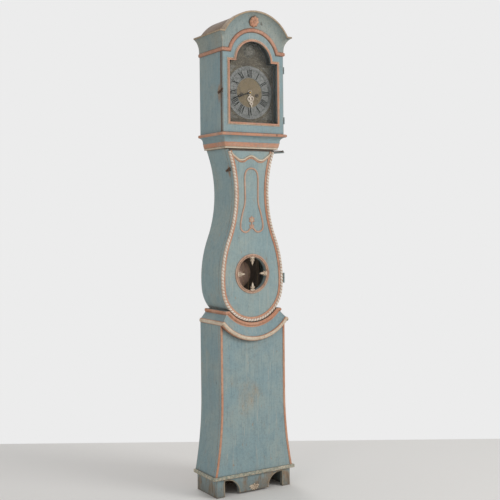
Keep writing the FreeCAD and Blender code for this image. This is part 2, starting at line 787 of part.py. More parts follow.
def seatboard(cheek):
    """The board that carries the movement, slotted for lines and pendulum."""
    front = S.waist_depth + 1
    pendulum = S.pendulum_depth
    line = S.winding_half - S.drum_radius - S.line_radius
    board = level_board("SeatBoardPlain", S.cheek_top, S.cheek_top + S.seat_board,
                        [(-cheek, S.back_board + 0.5), (cheek, S.back_board + 0.5), (cheek, front),
                         (-cheek, front), (-cheek, S.back_board + 0.5)])
    slots = [block("PendulumSlot", (-17, 17), (pendulum - 9, pendulum + 9),
                   (S.cheek_top - 1, S.cheek_top + S.seat_board + 1))]
    for name, centre in (("Right", line), ("Left", -line)):
        slots.append(block("LineSlot" + name, (centre - 4, centre + 4),
                           (S.drum_depth - S.drum_length / 2, S.drum_depth + S.drum_length / 2),
                           (S.cheek_top - 1, S.cheek_top + S.seat_board + 1)))
    node(cut("SeatBoard", board, fuse("SeatSlots", slots)), "seatboard")


def pear_path():
    """The waist door's right half, from its lowest point up and over to its top's middle."""
    bottom = (0, float(S.belly_bottom))
    belly, belly_r = waist_circles(0)[0]
    edge = waist_edge(0, S.collar_top, S.waist_door_top)
    return [bottom, arc_to(belly, belly_r, bottom, edge[0])] + edge[1:] + [(0, float(S.waist_door_top))]


def waist_door():
    """The pear-shaped board with its round window, rope moulding and window surround."""
    back, front = S.waist_depth, S.waist_depth + S.waist_door_board
    path = pear_path()
    window = ((0, S.window_height), S.window_radius)
    node(front_board("WaistDoor", back, front, mirrored(path), [window]), "waist_door")
    rope(front)
    surround(front)


def rope(front):
    """The half-round moulding that carries the rope carving, along the pear's edge."""
    inset = float(S.rope_width)
    low, high = S.collar_top, S.waist_door_top - S.strap_drop - 0.5
    outer, inner = waist_edge(0, low, high), waist_edge(inset, low, high)
    belly, outer_r = waist_circles(0)[0]
    inner_r = outer_r - inset
    outer_low, inner_low = (0, belly.y - outer_r), (0, belly.y - inner_r)
    out_path = [outer_low, arc_to(belly, outer_r, outer_low, outer[0])] + outer[1:]
    in_path = [inner_low, arc_to(belly, inner_r, inner_low, inner[0])] + inner[1:]
    half = out_path + backwards(in_path)
    body = doc.addObject("PartDesign::Body", "RopeMoulding")
    whole = backwards(flipped(out_path)) + out_path[1:] + backwards(in_path) + flipped(in_path)[1:]
    band = pad(body, "XZ_Plane", whole + whole[:1], S.rope_rise)
    put(body, depth=front)
    doc.recompute()
    edges = [f"Edge{number}" for number, edge in enumerate(band.Shape.Edges, start=1)
             if abs(edge.BoundBox.YMin + float(S.rope_rise)) < 0.01
             and abs(edge.BoundBox.YMax + float(S.rope_rise)) < 0.01 and edge.Length > 30]
    rounding = body.newObject("PartDesign::Chamfer", "RopeRounding")
    rounding.Base = (band, edges)
    bind(rounding, "Size", S.rope_rise * 0.6)
    body.Tip = rounding
    node(body, "rope_moulding")


def surround(front):
    """The ring round the window, with four carved fleurs that point to its middle."""
    ring_outer = S.window_radius + S.window_ring
    body = doc.addObject("PartDesign::Body", "WindowSurround")
    sketch = new_sketch(body, "XZ_Plane")
    round_hole(sketch, (0, 0), ring_outer)
    round_hole(sketch, (0, 0), S.window_radius)
    ring = body.newObject("PartDesign::Pad", "WindowRing")
    ring.Profile = sketch
    bind(ring, "Length", S.window_rise)
    root = S.window_radius + 4
    tip = S.fleur_reach
    half = [(0, root), (14, root), (8, root - 9), (13, root - 14), (8, root - 20), (6, root - 24), (8, root - 28),
            (0, tip)]
    fleur_sketch = new_sketch(body, "XZ_Plane")
    draw(fleur_sketch, mirrored(half))
    fleur = body.newObject("PartDesign::Pad", "Fleur")
    fleur.Profile = fleur_sketch
    bind(fleur, "Length", S.window_rise + 2)
    pattern = body.newObject("PartDesign::PolarPattern", "FourFleurs")
    pattern.Originals = [fleur]
    pattern.Axis = (sketch, ["N_Axis"])
    pattern.Angle = 360
    pattern.Occurrences = 4
    body.Tip = pattern
    put(body, depth=front, z=S.window_height)
    node(body, "window_surround")


# ----------------------------------------------------------------------------- throat moulding


def throat_edge():
    """The throat's right profile, as (how far out, height), from its underside to its top."""
    low, top, out = S.throat_bottom, S.throat_top, S.throat_out
    return [(0, low), (3, low), (3, low + 8), (5, low + 8), (9, low + 26), (10, low + 28),
            Bend((13, low + 44), (out - 6, top - 13)), (out - 3, top - 13),
            Bend((out + 0.5, top - 6.5), (out - 3, top)), (0, top)]


def throat():
    """Bead, hollow and band round three sides under the hood, as boards mitred at the corners."""
    profile = throat_edge()
    cheek = across_cheek()
    inner = cheek + S.wood_gap - S.throat_half
    back = [(inner, S.throat_top), (inner, S.throat_bottom), (0, S.throat_bottom)]
    side = [(x + S.throat_half, z) for x, z in back]
    side += [Bend((s.middle[0] + S.throat_half, s.middle[1]), (s.end[0] + S.throat_half, s.end[1]))
             if isinstance(s, Bend) else (s[0] + S.throat_half, s[1]) for s in profile[1:]]
    side.append(side[0])
    right = front_board("ThroatRight", 0, S.cornice_depth, side)
    left = front_board("ThroatLeft", 0, S.cornice_depth, flipped(side))
    wide = S.throat_half + S.throat_out + 20
    start = S.waist_depth - S.door_gap
    front_path = [(start, S.throat_bottom)]
    front_path += [Bend((s.middle[0] + S.throat_depth, s.middle[1]), (s.end[0] + S.throat_depth, s.end[1]))
                   if isinstance(s, Bend) else (s[0] + S.throat_depth, s[1]) for s in profile]
    front_path += [(start, S.throat_top), (start, S.throat_bottom)]
    front = side_board("ThroatFront", -wide, wide, front_path)
    wedge = S.throat_out + 30
    corner_x, corner_y = S.throat_half, S.throat_depth
    inside = corner_y - corner_x
    front_half = [(0, inside), (corner_x + wedge, corner_y + wedge), (-corner_x - wedge, corner_y + wedge),
                  (0, inside)]
    mitre = level_board("ThroatMitre", S.throat_bottom - 1, S.throat_top + 1, front_half)
    pieces = [common("ThroatFrontMitred", front, mitre), cut("ThroatRightMitred", right, mitre),
              cut("ThroatLeftMitred", left, mitre)]
    group("throat_moulding", pieces)


def across_cheek():
    """Half width of the cheeks, outside."""
    return outer_end(waist_edge(0, S.collar_top + 1, S.waist_door_top))


# ----------------------------------------------------------------------------- hood


def cornice_edge():
    """The crown's right profile seen from the front, from its lower edge to its shoulder tip."""
    side, tip = S.hood_half, S.crown_half
    low = S.shoulder_height + S.bead_width + S.hood_gap
    edge = S.crown_shoulder - S.crown_edge
    return [(side, low), (side + 2, low), Bend((side + 7, low + 38), (tip - 2, edge)), (tip, edge),
            (tip, S.crown_shoulder)]


def crown_profile():
    """The crown's section from the bead outwards: a hollow that ends in a square edge."""
    back, low, tip = S.crown_back + 6, S.hood_depth, S.cornice_depth
    return [(0, back), (0, low + 1), (0.35, low + 3), (0.7, low + 13), (0.93, tip - 2), (0.93, tip), (1, tip),
            (1, back), (0, back)]


def crown():
    """The arched hollow over the door, with the backing board that it is glued to."""
    level = S.shoulder_height + S.bead_width + S.hood_gap
    inner_radius = float(S.bead_radius + S.bead_width + 2 * S.hood_gap)
    inner_end = (across(inner_radius, level - S.bead_centre), float(level))
    outer_end_point = (across(S.crown_radius, S.crown_shoulder - S.crown_centre), float(S.crown_shoulder))
    inner_turn = math.degrees(math.asin(inner_end[0] / inner_radius))
    outer_turn = math.degrees(math.asin(outer_end_point[0] / float(S.crown_radius)))
    profile = crown_profile()
    sections = []
    for place in range(-7, 8):
        inner = on_circle((0, S.bead_centre), inner_radius, inner_turn * place / 7)
        outer = on_circle((0, S.crown_centre), S.crown_radius, outer_turn * place / 7)
        sections.append(ribbon_section(inner, outer, profile))
    arch = loft("CrownArch", sections, True)
    run = float(S.crown_half) - outer_end_point[0] + 30
    ends = []
    for name, sign in (("Right", 1), ("Left", -1)):
        near = ribbon_section((sign * inner_end[0], inner_end[1]),
                              (sign * outer_end_point[0], outer_end_point[1]), profile)
        far = ribbon_section((sign * (inner_end[0] + run), inner_end[1]),
                             (sign * (outer_end_point[0] + run), outer_end_point[1]), profile)
        ends.append(loft("CrownShoulder" + name, [near, far], True))
    start, arc = hood_arch(S.bead_radius, S.shoulder_height)
    roof = across(S.crown_radius - 4, S.crown_shoulder - 2 - S.crown_centre)
    upper = (roof, float(S.crown_shoulder - 2))
    half = backwards([(S.hood_half, S.shoulder_height), start, arc])
    half += [(S.hood_half, float(S.crown_shoulder - 2)), upper,
             arc_to((0, S.crown_centre), S.crown_radius - 4, upper,
                    (0, float(S.crown_centre + S.crown_radius - 4)))]
    backing = front_board("CrownBacking", S.crown_back, S.hood_depth - 0.5, mirrored(half))
    whole = fuse("CrownWhole", [arch, backing] + ends)
    low = S.shoulder_height - 40
    limit = [(0, low), (S.hood_half, low)] + cornice_edge()
    limit += [(S.crown_half, S.crown_centre + S.crown_radius + 10), (0, S.crown_centre + S.crown_radius + 10)]
    outline = front_board("CrownLimit", S.crown_back - 5, S.cornice_depth + 5, mirrored(limit))
    node(common("Crown", whole, outline), "hood_crown")


def hood():
    """Sides, crown, side cornices, bead, roof and the runners it slides on."""
    crown()
    outside, inside = S.hood_half, S.hood_half - S.hood_board
    floor = S.throat_top + S.hood_gap
    front = S.hood_depth - S.frame_lip - S.door_gap
    side = [(0, floor), (front, floor), (front, S.shoulder_height), (S.crown_back, S.shoulder_height),
            (S.crown_back, S.crown_shoulder), (0, S.crown_shoulder), (0, floor)]
    group("hood_sides", [side_board("HoodSideRight", inside, outside, side),
                         side_board("HoodSideLeft", -outside, -inside, side)])
    edge = cornice_edge()
    path = edge + [(outside, S.crown_shoulder), edge[0]]
    cornices = [front_board("CorniceRight", 0, S.crown_back, path),
                front_board("CorniceLeft", 0, S.crown_back, flipped(path))]
    group("cornice_sides", cornices)
    bead()
    roof()
    runners(inside, floor)


def bead():
    """The bead that follows the arch and runs back along both sides."""
    width, rise = S.bead_width, S.bead_rise
    low, high = S.shoulder_height, S.shoulder_height + width
    corner = S.hood_half + rise
    inner_start, inner_arc = hood_arch(S.bead_radius, low)
    outer_start, outer_arc = hood_arch(S.bead_radius + width, high)
    inner = [(corner, low), inner_start, inner_arc]
    outer = [(corner, high), outer_start, outer_arc]
    half = backwards(inner) + outer
    body = doc.addObject("PartDesign::Body", "BeadFront")
    band = pad(body, "XZ_Plane", mirrored(half), rise + 0.5)
    put(body, depth=S.hood_depth - 0.5)
    doc.recompute()
    reach = float(rise + 0.5)
    edges = [f"Edge{number}" for number, edge in enumerate(band.Shape.Edges, start=1)
             if abs(edge.BoundBox.YMin + reach) < 0.01 and abs(edge.BoundBox.YMax + reach) < 0.01]
    rounding = body.newObject("PartDesign::Chamfer", "BeadRounding")
    rounding.Base = (band, edges)
    bind(rounding, "Size", rise * 0.6)
    body.Tip = rounding
    pieces = [body]
    profile = [(S.hood_half, low), (S.hood_half + 1, low),
               Bend((S.hood_half + rise, (low + high) / 2), (S.hood_half + 1, high)),
               (S.hood_half, high), (S.hood_half, low)]
    pieces.append(front_board("BeadRight", 0, S.hood_depth - 0.5, profile))
    pieces.append(front_board("BeadLeft", 0, S.hood_depth - 0.5, flipped(profile)))
    group("hood_bead", pieces)


def roof():
    """The arched roof boards behind the crown."""
    outer = S.crown_radius - S.roof_drop
    inner = outer - S.roof_board
    rise = S.crown_shoulder - S.crown_centre
    outer_foot = (across(outer, rise), float(S.crown_shoulder))
    inner_foot = (across(inner, rise), float(S.crown_shoulder))
    centre = (0, S.crown_centre)
    half = [(0, float(S.crown_centre + inner)),
            arc_to(centre, inner, (0, float(S.crown_centre + inner)), inner_foot), outer_foot,
            arc_to(centre, outer, outer_foot, (0, float(S.crown_centre + outer)))]
    node(front_board("Roof", 0, S.crown_back, mirrored(half)), "hood_roof")


def runners(inside, floor):
    """Runners inside the hood, and the rail behind its door."""
    cheek = across_cheek()
    high = floor + S.runner
    front = S.hood_depth - S.frame_board - S.door_gap
    pieces = [block("RunnerRight", (cheek + 1, inside), (0, front - 16), (floor, high)),
              block("RunnerLeft", (-inside, -cheek - 1), (0, front - 16), (floor, high)),
              block("HoodRail", (-inside, inside), (front - 16, front), (floor, floor + 24))]
    group("hood_runners", pieces)


# ----------------------------------------------------------------------------- hood door


def hood_door():
    """The break-arch frame with its lip, rebate, bead and glass."""
    lip_back, front = S.hood_depth - S.frame_lip, S.hood_depth
    back = S.hood_depth - S.frame_board
    gap = S.frame_gap
    start, arc = hood_arch(S.bead_radius - gap, S.shoulder_height - gap)
    foot = S.throat_top + gap
    head = [start, arc]
    sight = (S.sight_bottom, S.sight_half, S.sight_spring, S.sight_radius)
    opening = mirrored(break_arch(0, *sight))
    face = [(0, foot), (S.hood_half, foot), (S.hood_half, S.shoulder_height - gap)] + head
    lip = front_board("FrameLip", lip_back, front, mirrored(face), [opening])
    inside = S.hood_half - S.hood_board - gap
    core = [(0, foot), (inside, foot), (inside, S.shoulder_height - gap)] + head
    rebate = mirrored(break_arch(5, *sight))
    body = front_board("FrameCore", back, lip_back, mirrored(core), [rebate])
    pane = mirrored(break_arch(4.5, *sight))
    node(front_board("DoorGlass", lip_back - S.glass, lip_back, pane), "hood_door_glass")
    ring = doc.addObject("PartDesign::Body", "SightBead")
    pad(ring, "XZ_Plane", mirrored(break_arch(S.sight_bead, *sight)), 3, [opening])
    put(ring, depth=front)
    node(fuse("HoodDoorFrame", [lip, body, ring]), "hood_door_frame")


# ----------------------------------------------------------------------------- ironwork


def turn_to(thing, around_depth=0, lift=0):
    """Turns a piece clockwise in the front view, after lifting its front end."""
    thing.Placement.Rotation = (FreeCAD.Rotation(Vector(0, 1, 0), float(around_depth))
                                * FreeCAD.Rotation(Vector(1, 0, 0), -float(lift)))
    return thing


def bar_across(name, radius, left, right, tilt, x, depth, z):
    """A cylinder along X, tilted with the surface that it stands on."""
    body = doc.addObject("PartDesign::Body", name)
    sketch = new_sketch(body, "YZ_Plane")
    round_hole(sketch, (0, 0), radius)
    feature = body.newObject("PartDesign::Pad", name + "Pad")
    feature.Profile = sketch
    bind(feature, "Length", right - left)
    turn_to(body, tilt)
    return put_off(body, left, tilt, x, depth, z)


def put_off(body, reach, tilt, x, depth, z):
    """Puts a tilted piece at a reach along its own X from a point."""
    shift = FreeCAD.Rotation(Vector(0, 1, 0), float(tilt)).multVec(Vector(float(reach), 0, 0))
    return put(body, as_size(x) + shift.x, depth, as_size(z) + shift.z)


def hook(name, label, reach, stand, tilt, x, depth, z):
    """A flat hook whose notch drops over a peg; it turns on a screw."""
    half, peg = S.hook_height / 2, S.peg_radius + 0.7
    notch = (reach - peg, reach + peg)
    path = [(-6, -half), (notch[0], -half), (notch[0], peg), (notch[1], peg), (notch[1], -half),
            (reach + 6, -half), (reach + 6, half), (-6, half), (-6, -half)]
    body = doc.addObject("PartDesign::Body", name)
    pad(body, "YZ_Plane", [(-forward, up) for forward, up in path], S.hook_plate,
        [((0, 0), S.screw_radius + S.pivot_gap)])
    turn_to(body, tilt, S.hook_lift)
    put_off(body, -stand - S.hook_plate, tilt, x, depth, z)
    return node(body, label)


def hook_screw(name, stand, tilt, x, depth, z):
    """The screw that a hook turns on."""
    far = stand + S.hook_plate
    shank = bar_across(name + "Shank", S.screw_radius, -far - 0.5, -0.05, tilt, x, depth, z)
    head = bar_across(name + "Head", S.screw_radius + 2, -far - 2.3, -far - 0.3, tilt, x, depth, z)
    return fuse(name, [shank, head])


def waist_ironwork(side):
    """Strap and belly hinge of the waist door, its hook, screw and peg."""
    out, depth = S.waist_hinge_out, S.waist_hinge_depth
    front = S.waist_depth + S.waist_door_board
    strap_low = S.waist_door_top - S.strap_drop
    # the strap turns on a bracket's pin
    arm = [(112, 120), (140, 120), (out + 5, depth - 5), (out + 5, depth + 5), (out - 5, depth + 5),
           (126, S.waist_depth), (112, S.waist_depth), (112, 120)]
    plate = level_board("BracketPlate", strap_low - 5.5, strap_low - 0.5, arm)
    pin = post("BracketPin", out, depth, S.screw_radius, strap_low - 1, strap_low + S.strap_bar + 1.5)
    bracket = cut("Bracket", fuse("BracketWhole", [plate, pin]), side)
    strap = block("StrapBar", (-112, out), (front, front + 3), (strap_low, strap_low + S.strap_bar))
    eye = post("StrapEye", out, depth, 5, strap_low, strap_low + S.strap_bar)
    bore = post("StrapBore", out, depth, S.screw_radius + S.pivot_gap, strap_low - 1,
                strap_low + S.strap_bar + 1)
    strap = cut("Strap", fuse("StrapWhole", [strap, eye]), bore)
    # the belly hinge stands where the pear is widest
    widest, reach = waist_circles(0)[1]
    middle, belly = as_size(widest.y), as_size(widest.x + reach)
    leaf_out = belly + 1.9
    fixed = [block("LeafFixed", (belly - 8, leaf_out), (110, S.waist_depth - S.door_gap),
                   (middle - 22, middle + 22))]
    fixed.append(block("Tongue", (belly + 0.6, leaf_out + 1.2), (140, depth), (middle - 22, middle)))
    fixed.append(post("KnuckleFixed", out, depth, 4, middle - 22, middle))
    fixed.append(post("HingePin", out, depth, S.peg_radius, middle - 1, middle + 22))
    fixed = cut("HingeFixed", fuse("HingeFixedWhole", fixed), side)
    leaf = block("LeafMoving", (belly - 5, leaf_out + 1), (front - 16, depth), (middle + 0.3, middle + 22))
    knuckle = post("KnuckleMoving", out, depth, 4, middle + 0.3, middle + 22)
    door_shape = front_board("LeafSeat", S.waist_depth, front + S.rope_rise, mirrored(pear_path()))
    bore = post("KnuckleBore", out, depth, S.peg_radius + S.pivot_gap, middle - 1, middle + 23)
    moving = cut("HingeMoving", cut("HingeLeaf", fuse("HingeMovingWhole", [leaf, knuckle]), door_shape), bore)
    # hook
    z = S.waist_hook_height
    edge = end_of(waist_edge(0, S.collar_top, z)[-1])
    neck = waist_circles(0)[2][0]
    tilt = -math.degrees(math.asin((float(z) - neck.y) / float(S.neck_radius)))
    x = -edge[0]
    stand = S.waist_hook_stand
    screw = hook_screw("WaistHookScrew", stand, tilt, x, S.waist_hook_depth, z)
    peg_depth = S.waist_hook_depth + S.waist_hook_reach
    peg = bar_across("WaistPeg", S.peg_radius, -stand - S.hook_plate - 1.5, 1, tilt, x, peg_depth, z)
    peg = cut("WaistPegSeated", peg, front_board("PegSeat", S.waist_depth, front, mirrored(pear_path())))
    group("case_ironwork", [bracket, fixed, screw])
    group("waist_door_ironwork", [strap, moving, peg])
    hook("WaistHook", "waist_latch", S.waist_hook_reach, stand, tilt, x, S.waist_hook_depth, z)


def hood_ironwork():
    """Two hinges for the hood door, its hook, screw and peg."""
    out, depth, side = S.hood_hinge_out, S.hood_depth, S.hood_half
    seam = S.hood_depth - S.frame_lip - S.door_gap
    pin_radius, knuckle_radius = 1.2, 2.6
    fixed, moving = [], []
    for name, middle in (("High", S.sight_spring - 25), ("Low", S.sight_bottom + 16)):
        low, high = middle - 15, middle + 15
        pieces = [block("HoodLeaf" + name, (side, side + 1.4), (170, seam), (low, high)),
                  block("HoodTongue" + name, (side + 0.3, side + 1.4), (seam - 1, depth), (low, middle)),
                  post("HoodKnuckle" + name, out, depth, knuckle_radius, low, middle),
                  post("HoodPin" + name, out, depth, pin_radius, middle - 1, high)]
        fixed.append(fuse("HoodHinge" + name, pieces))
        leaf = block("DoorLeaf" + name, (side, side + 1.4), (seam + 0.8, depth), (middle + 0.3, high))
        knuckle = post("DoorKnuckle" + name, out, depth, knuckle_radius, middle + 0.3, high)
        bore = post("DoorBore" + name, out, depth, pin_radius + S.pivot_gap, middle - 1, high + 1)
        moving.append(cut("DoorHinge" + name, fuse("DoorHingeWhole" + name, [leaf, knuckle]), bore))
    stand, height = S.hood_hook_stand, S.hood_hook_height
    fixed.append(hook_screw("HoodHookScrew", stand, 0, -side, S.hood_hook_depth, height))
    moving.append(bar_across("HoodPeg", S.peg_radius, -stand - S.hook_plate - 1.5, 0, 0, -side,
                             S.hood_hook_depth + S.hood_hook_reach, height))
    group("hood_ironwork", fixed)
    group("hood_door_ironwork", moving)
    hook("HoodHook", "hood_latch", S.hood_hook_reach, stand, 0, -side, S.hood_hook_depth, height)


# ----------------------------------------------------------------------------- dial


def disc(name, x, z, outer, near, far, holes=()):
    """A round plate with round holes, its holes placed from its own middle."""
    body = doc.addObject("PartDesign::Body", name)
    sketch = new_sketch(body, "XZ_Plane")
    round_hole(sketch, (0, 0), outer)
    for centre, radius in holes:
        round_hole(sketch, centre, radius)
    feature = body.newObject("PartDesign::Pad", name + "Pad")
    feature.Profile = sketch
    bind(feature, "Length", far - near)
    return put(body, x, near, z)


def dial():
    """Plate with its feet, chapter ring, boss in the arch and four corner ornaments."""
    back = S.dial_depth - S.dial_plate
    centre, winding = S.dial_centre, S.dial_centre - S.winding_drop
    path = mirrored(break_arch(0, S.dial_bottom, S.dial_half, S.sight_spring, S.sight_radius + 2))
    holes = [((0, centre), S.pipe_radius + 0.5), ((S.winding_half, winding), S.winding_hole),
             ((-S.winding_half, winding), S.winding_hole)]
    plate = front_board("DialPlate", back, S.dial_depth, path, holes)
    feet = [round_bar(f"DialFoot{number}", x, z, 2.5, S.front_plate + S.plate, back)
            for number, (x, z) in enumerate(corners(60, S.plate_top - 22, S.cheek_top + S.seat_board + 22))]
    node(fuse("DialWhole", [plate] + feet), "dial_plate")
    ring = disc("ChapterRing", 0, centre, S.ring_outer, S.dial_depth, S.dial_depth + S.ring_plate,
                [((0, 0), S.ring_inner)])
    node(ring, "chapter_ring")
    boss = turned("Boss", [(0, 0), (S.boss_radius, 0), (S.boss_radius * 0.6, 3.2), (0, 4)],
                  x=0, depth=S.dial_depth, z=S.boss_height)
    leaf = [(116, 116), (60, 112), (84, 98), (89, 89), (98, 84), (112, 60), (116, 116)]
    low_leaf = [(x, -z) for x, z in leaf]
    ornaments = [boss]
    for number, path in enumerate((leaf, flipped(leaf), low_leaf, flipped(low_leaf))):
        board = front_board(f"Spandrel{number}", S.dial_depth, S.dial_depth + 1.6, path)
        ornaments.append(put(board, depth=S.dial_depth, z=centre))
    group("dial_ornaments", ornaments)


def corners(half, high, low):
    """Four points, mirrored from right to left."""
    return [(half, high), (-half, high), (half, low), (-half, low)]


# ----------------------------------------------------------------------------- wheels

# a tooth's tip and root: (height over the pitch line in modules, share of the pitch that it fills)
WHEEL_TOOTH = ((0.9, 0.1), (-1.25, 1))
PINION_LEAF = ((0.45, 0.12), (-1.4, 0.3))
MOTION_TOOTH = ((0.7, 0.1), (-1.25, 0.7))


def toothed(name, x, z, teeth, module, tooth, near, far, bore=0, spokes=0, turn=0):
    """A wheel or pinion: a disc, the spaces between its teeth, and its crossings."""
    teeth, module = as_size(teeth), float(module)
    pitch_radius, step = float(teeth) * module / 2, 360 / float(teeth)
    tip = pitch_radius + tooth[0][0] * module
    root = pitch_radius + tooth[-1][0] * module
    body = doc.addObject("PartDesign::Body", name)
    sketch = new_sketch(body, "XZ_Plane")
    round_hole(sketch, (0, 0), tip)
    if float(bore):
        round_hole(sketch, (0, 0), bore)
    blank = body.newObject("PartDesign::Pad", name + "Blank")
    blank.Profile = sketch
    bind(blank, "Length", far - near)
    side = [on_circle((0, 0), tip + module, step * (1 - tooth[0][1]) / 2)]
    side += [on_circle((0, 0), pitch_radius + height * module, step * (1 - share) / 2)
             for height, share in tooth]
    other = [flip(point) for point in reversed(side) if point[0]]
    carve(body, sketch, name + "Space", side + other + side[:1], teeth)
    if spokes:
        hub, rim = float(bore) + 4.5, root - 2.2
        open_hub, open_rim = 180 / spokes - 160 / hub, 180 / spokes - 160 / rim
        low, high = on_circle((0, 0), hub, open_hub), on_circle((0, 0), rim, open_rim)
        window = [flip(low), arc_to((0, 0), hub, flip(low), low) if open_hub > 1 else low, high,
                  arc_to((0, 0), rim, high, flip(high)), flip(low)]
        carve(body, sketch, name + "Crossing", window, spokes)
    turn_to(body, turn)
    return put(body, x, near, z)


def carve(body, sketch, name, path, count):
    """A pocket right through, repeated round the middle."""
    outline = new_sketch(body, "XZ_Plane")
    draw(outline, path)
    pocket = body.newObject("PartDesign::Pocket", name)
    pocket.Profile = outline
    pocket.Type = 1
    pocket.Midplane = True
    pattern = body.newObject("PartDesign::PolarPattern", name + "s")
    pattern.Originals = [pocket]
    pattern.Axis = (sketch, ["N_Axis"])
    pattern.Angle = 360
    bind(pattern, "Occurrences", count)
    body.Tip = pattern


def mesh_turn(turn, teeth, direction, driven):
    """How far a driven wheel is turned to mesh, its driver being turned and lying so."""
    step = 360 / float(teeth)
    off = (turn + step / 2 - direction) % step
    return direction + 180 - off * float(teeth) / float(driven)


def bearing(start, end):
    """Direction from one arbor to another, clockwise from up."""
    return math.degrees(math.atan2(float(end[0]) - float(start[0]), float(end[1]) - float(start[1])))


def arbor(name, x, z, steps):
    """A turned shaft from (radius, near, far) steps."""
    path = [(0, steps[0][1])]
    for radius, near, far in steps:
        path += [(radius, near), (radius, far)]
    path.append((0, steps[-1][2]))
    return turned(name, path, x=x, z=z)


def arbor_places():
    """Where each arbor stands in the front view, worked out from the wheels' sizes."""
    centre = (0, S.dial_centre)
    escape = (0, S.escape_height)
    first = float(S.centre_pitch) * float(S.centre_teeth + S.leaves) / 2
    second = float(S.third_pitch) * float(S.third_teeth + S.leaves) / 2
    apart = float(S.escape_height - S.dial_centre)
    up = (first ** 2 - second ** 2 + apart ** 2) / (2 * apart)
    third = (across(first, up), float(S.dial_centre) + up)
    going = (S.winding_half, S.dial_centre - S.winding_drop)
    strike = (-S.winding_half, S.dial_centre - S.winding_drop)
    great = math.hypot(float(S.winding_half), float(S.winding_drop))
    pin = on_circle(strike, great, -10)
    motion = (0, float(S.dial_centre) + float(S.motion_pitch) * float(S.cannon_teeth + S.minute_teeth) / 2)
    return SimpleNamespace(centre=centre, escape=escape, third=third, going=going, strike=strike, pin=pin,
                           motion=motion, anchor=(0, S.suspension_height), hammer=(-58, S.suspension_height + 2),
                           great_pitch=great * 2 / float(S.great_teeth + S.leaves))


def plates(at):
    """Front and back plate, drilled for every arbor, with four turned pillars."""
    front, back, gap = S.front_plate, S.back_plate, S.pivot_gap
    low, high = S.cheek_top + S.seat_board, S.plate_top
    outline = [(-S.plate_half, low), (S.plate_half, low), (S.plate_half, high), (-S.plate_half, high),
               (-S.plate_half, low)]
    fine = S.fine_arbor + gap
    holes = [(at.third, fine), (at.escape, fine), (at.pin, fine), (at.hammer, fine), (at.anchor, fine),
             (at.centre, 2 + gap), (at.going, 4 + gap), (at.strike, 4 + gap)]
    plate = front_board("FrontPlate", front, front + S.plate, outline, holes)
    stud = round_bar("MotionStud", at.motion[0], at.motion[1], 1.5, front + S.plate, front + S.plate + 7.5)
    node(fuse("FrontPlateStudded", [plate, stud]), "front_plate")
    plate = front_board("BackPlate", back - S.plate, back, outline, holes)
    posts = [round_bar(f"Pillar{number}", x, z, 4, back, front)
             for number, (x, z) in enumerate(corners(S.plate_half - 11, high - 12, low + 12))]
    node(fuse("BackPlateWhole", [plate] + posts), "back_plate")


def going_train(at):
    """Winding barrel, great, centre, third and escape wheels with their pinions."""
    gap = S.pivot_gap
    wheel, leaf = WHEEL_TOOTH, PINION_LEAF
    node(barrel("GoingBarrel", at.going), "going_barrel")
    great_turn = mesh_turn(0, S.leaves, bearing(at.centre, at.going), S.great_teeth)
    great = toothed("GoingGreat", *at.going, S.great_teeth, at.great_pitch, wheel, 142, 145, 4 + gap,
                    turn=great_turn)
    node(great, "going_great_wheel")
    shaft = arbor("CentreArbor", *at.centre, [(2, S.back_plate - S.plate, 157), (3, 157, 176)])
    pieces = [shaft,
              toothed("CentreWheel", *at.centre, S.centre_teeth, S.centre_pitch, wheel, 98, 100, 2, spokes=4),
              toothed("CentrePinion", *at.centre, S.leaves, at.great_pitch, leaf, 139, 147),
              toothed("CannonWheel", *at.centre, S.cannon_teeth, S.motion_pitch, MOTION_TOOTH, 157.5, 159),
              disc("MinuteCollet", 0, S.dial_centre, 4.5, 172.8, 173.8)]
    node(fuse("CentreWhole", pieces), "centre_wheel")
    turn = mesh_turn(0, S.centre_teeth, bearing(at.centre, at.third), S.leaves)
    pieces = [fine_arbor("ThirdArbor", at.third),
              toothed("ThirdPinion", *at.third, S.leaves, S.centre_pitch, leaf, 95, 103, turn=turn),
              toothed("ThirdWheel", *at.third, S.third_teeth, S.third_pitch, wheel, 148.5, 150, 1.5, spokes=4)]
    node(fuse("ThirdWhole", pieces), "third_wheel")
    turn = mesh_turn(0, S.third_teeth, bearing(at.third, at.escape), S.leaves)
    pieces = [fine_arbor("EscapeArbor", at.escape),
              toothed("EscapePinion", *at.escape, S.leaves, S.third_pitch, leaf, 146.8, 151.5, turn=turn),
              escape_wheel(at)]
    node(fuse("EscapeWhole", pieces), "escape_wheel")


def fine_arbor(name, place):
    """A thin arbor that turns in both plates."""
    return round_bar(name, place[0], place[1], S.fine_arbor, S.back_plate - S.plate, S.front_plate + S.plate)


def barrel(name, place):
    """A winding drum on an arbor that ends in a square for the key."""
    near, far = S.drum_depth - S.drum_length / 2, S.drum_depth + S.drum_length / 2
    front = S.front_plate + S.plate
    body = arbor(name, place[0], place[1], [(4, S.back_plate - S.plate, near), (S.drum_radius, near, far),
                                            (4, far, front + 1)])
    square = block(name + "Square", (place[0] - 2.75, place[0] + 2.75), (front + 1, S.dial_depth + 2.2),
                   (place[1] - 2.75, place[1] + 2.75))
    return fuse(name + "Whole", [body, square])


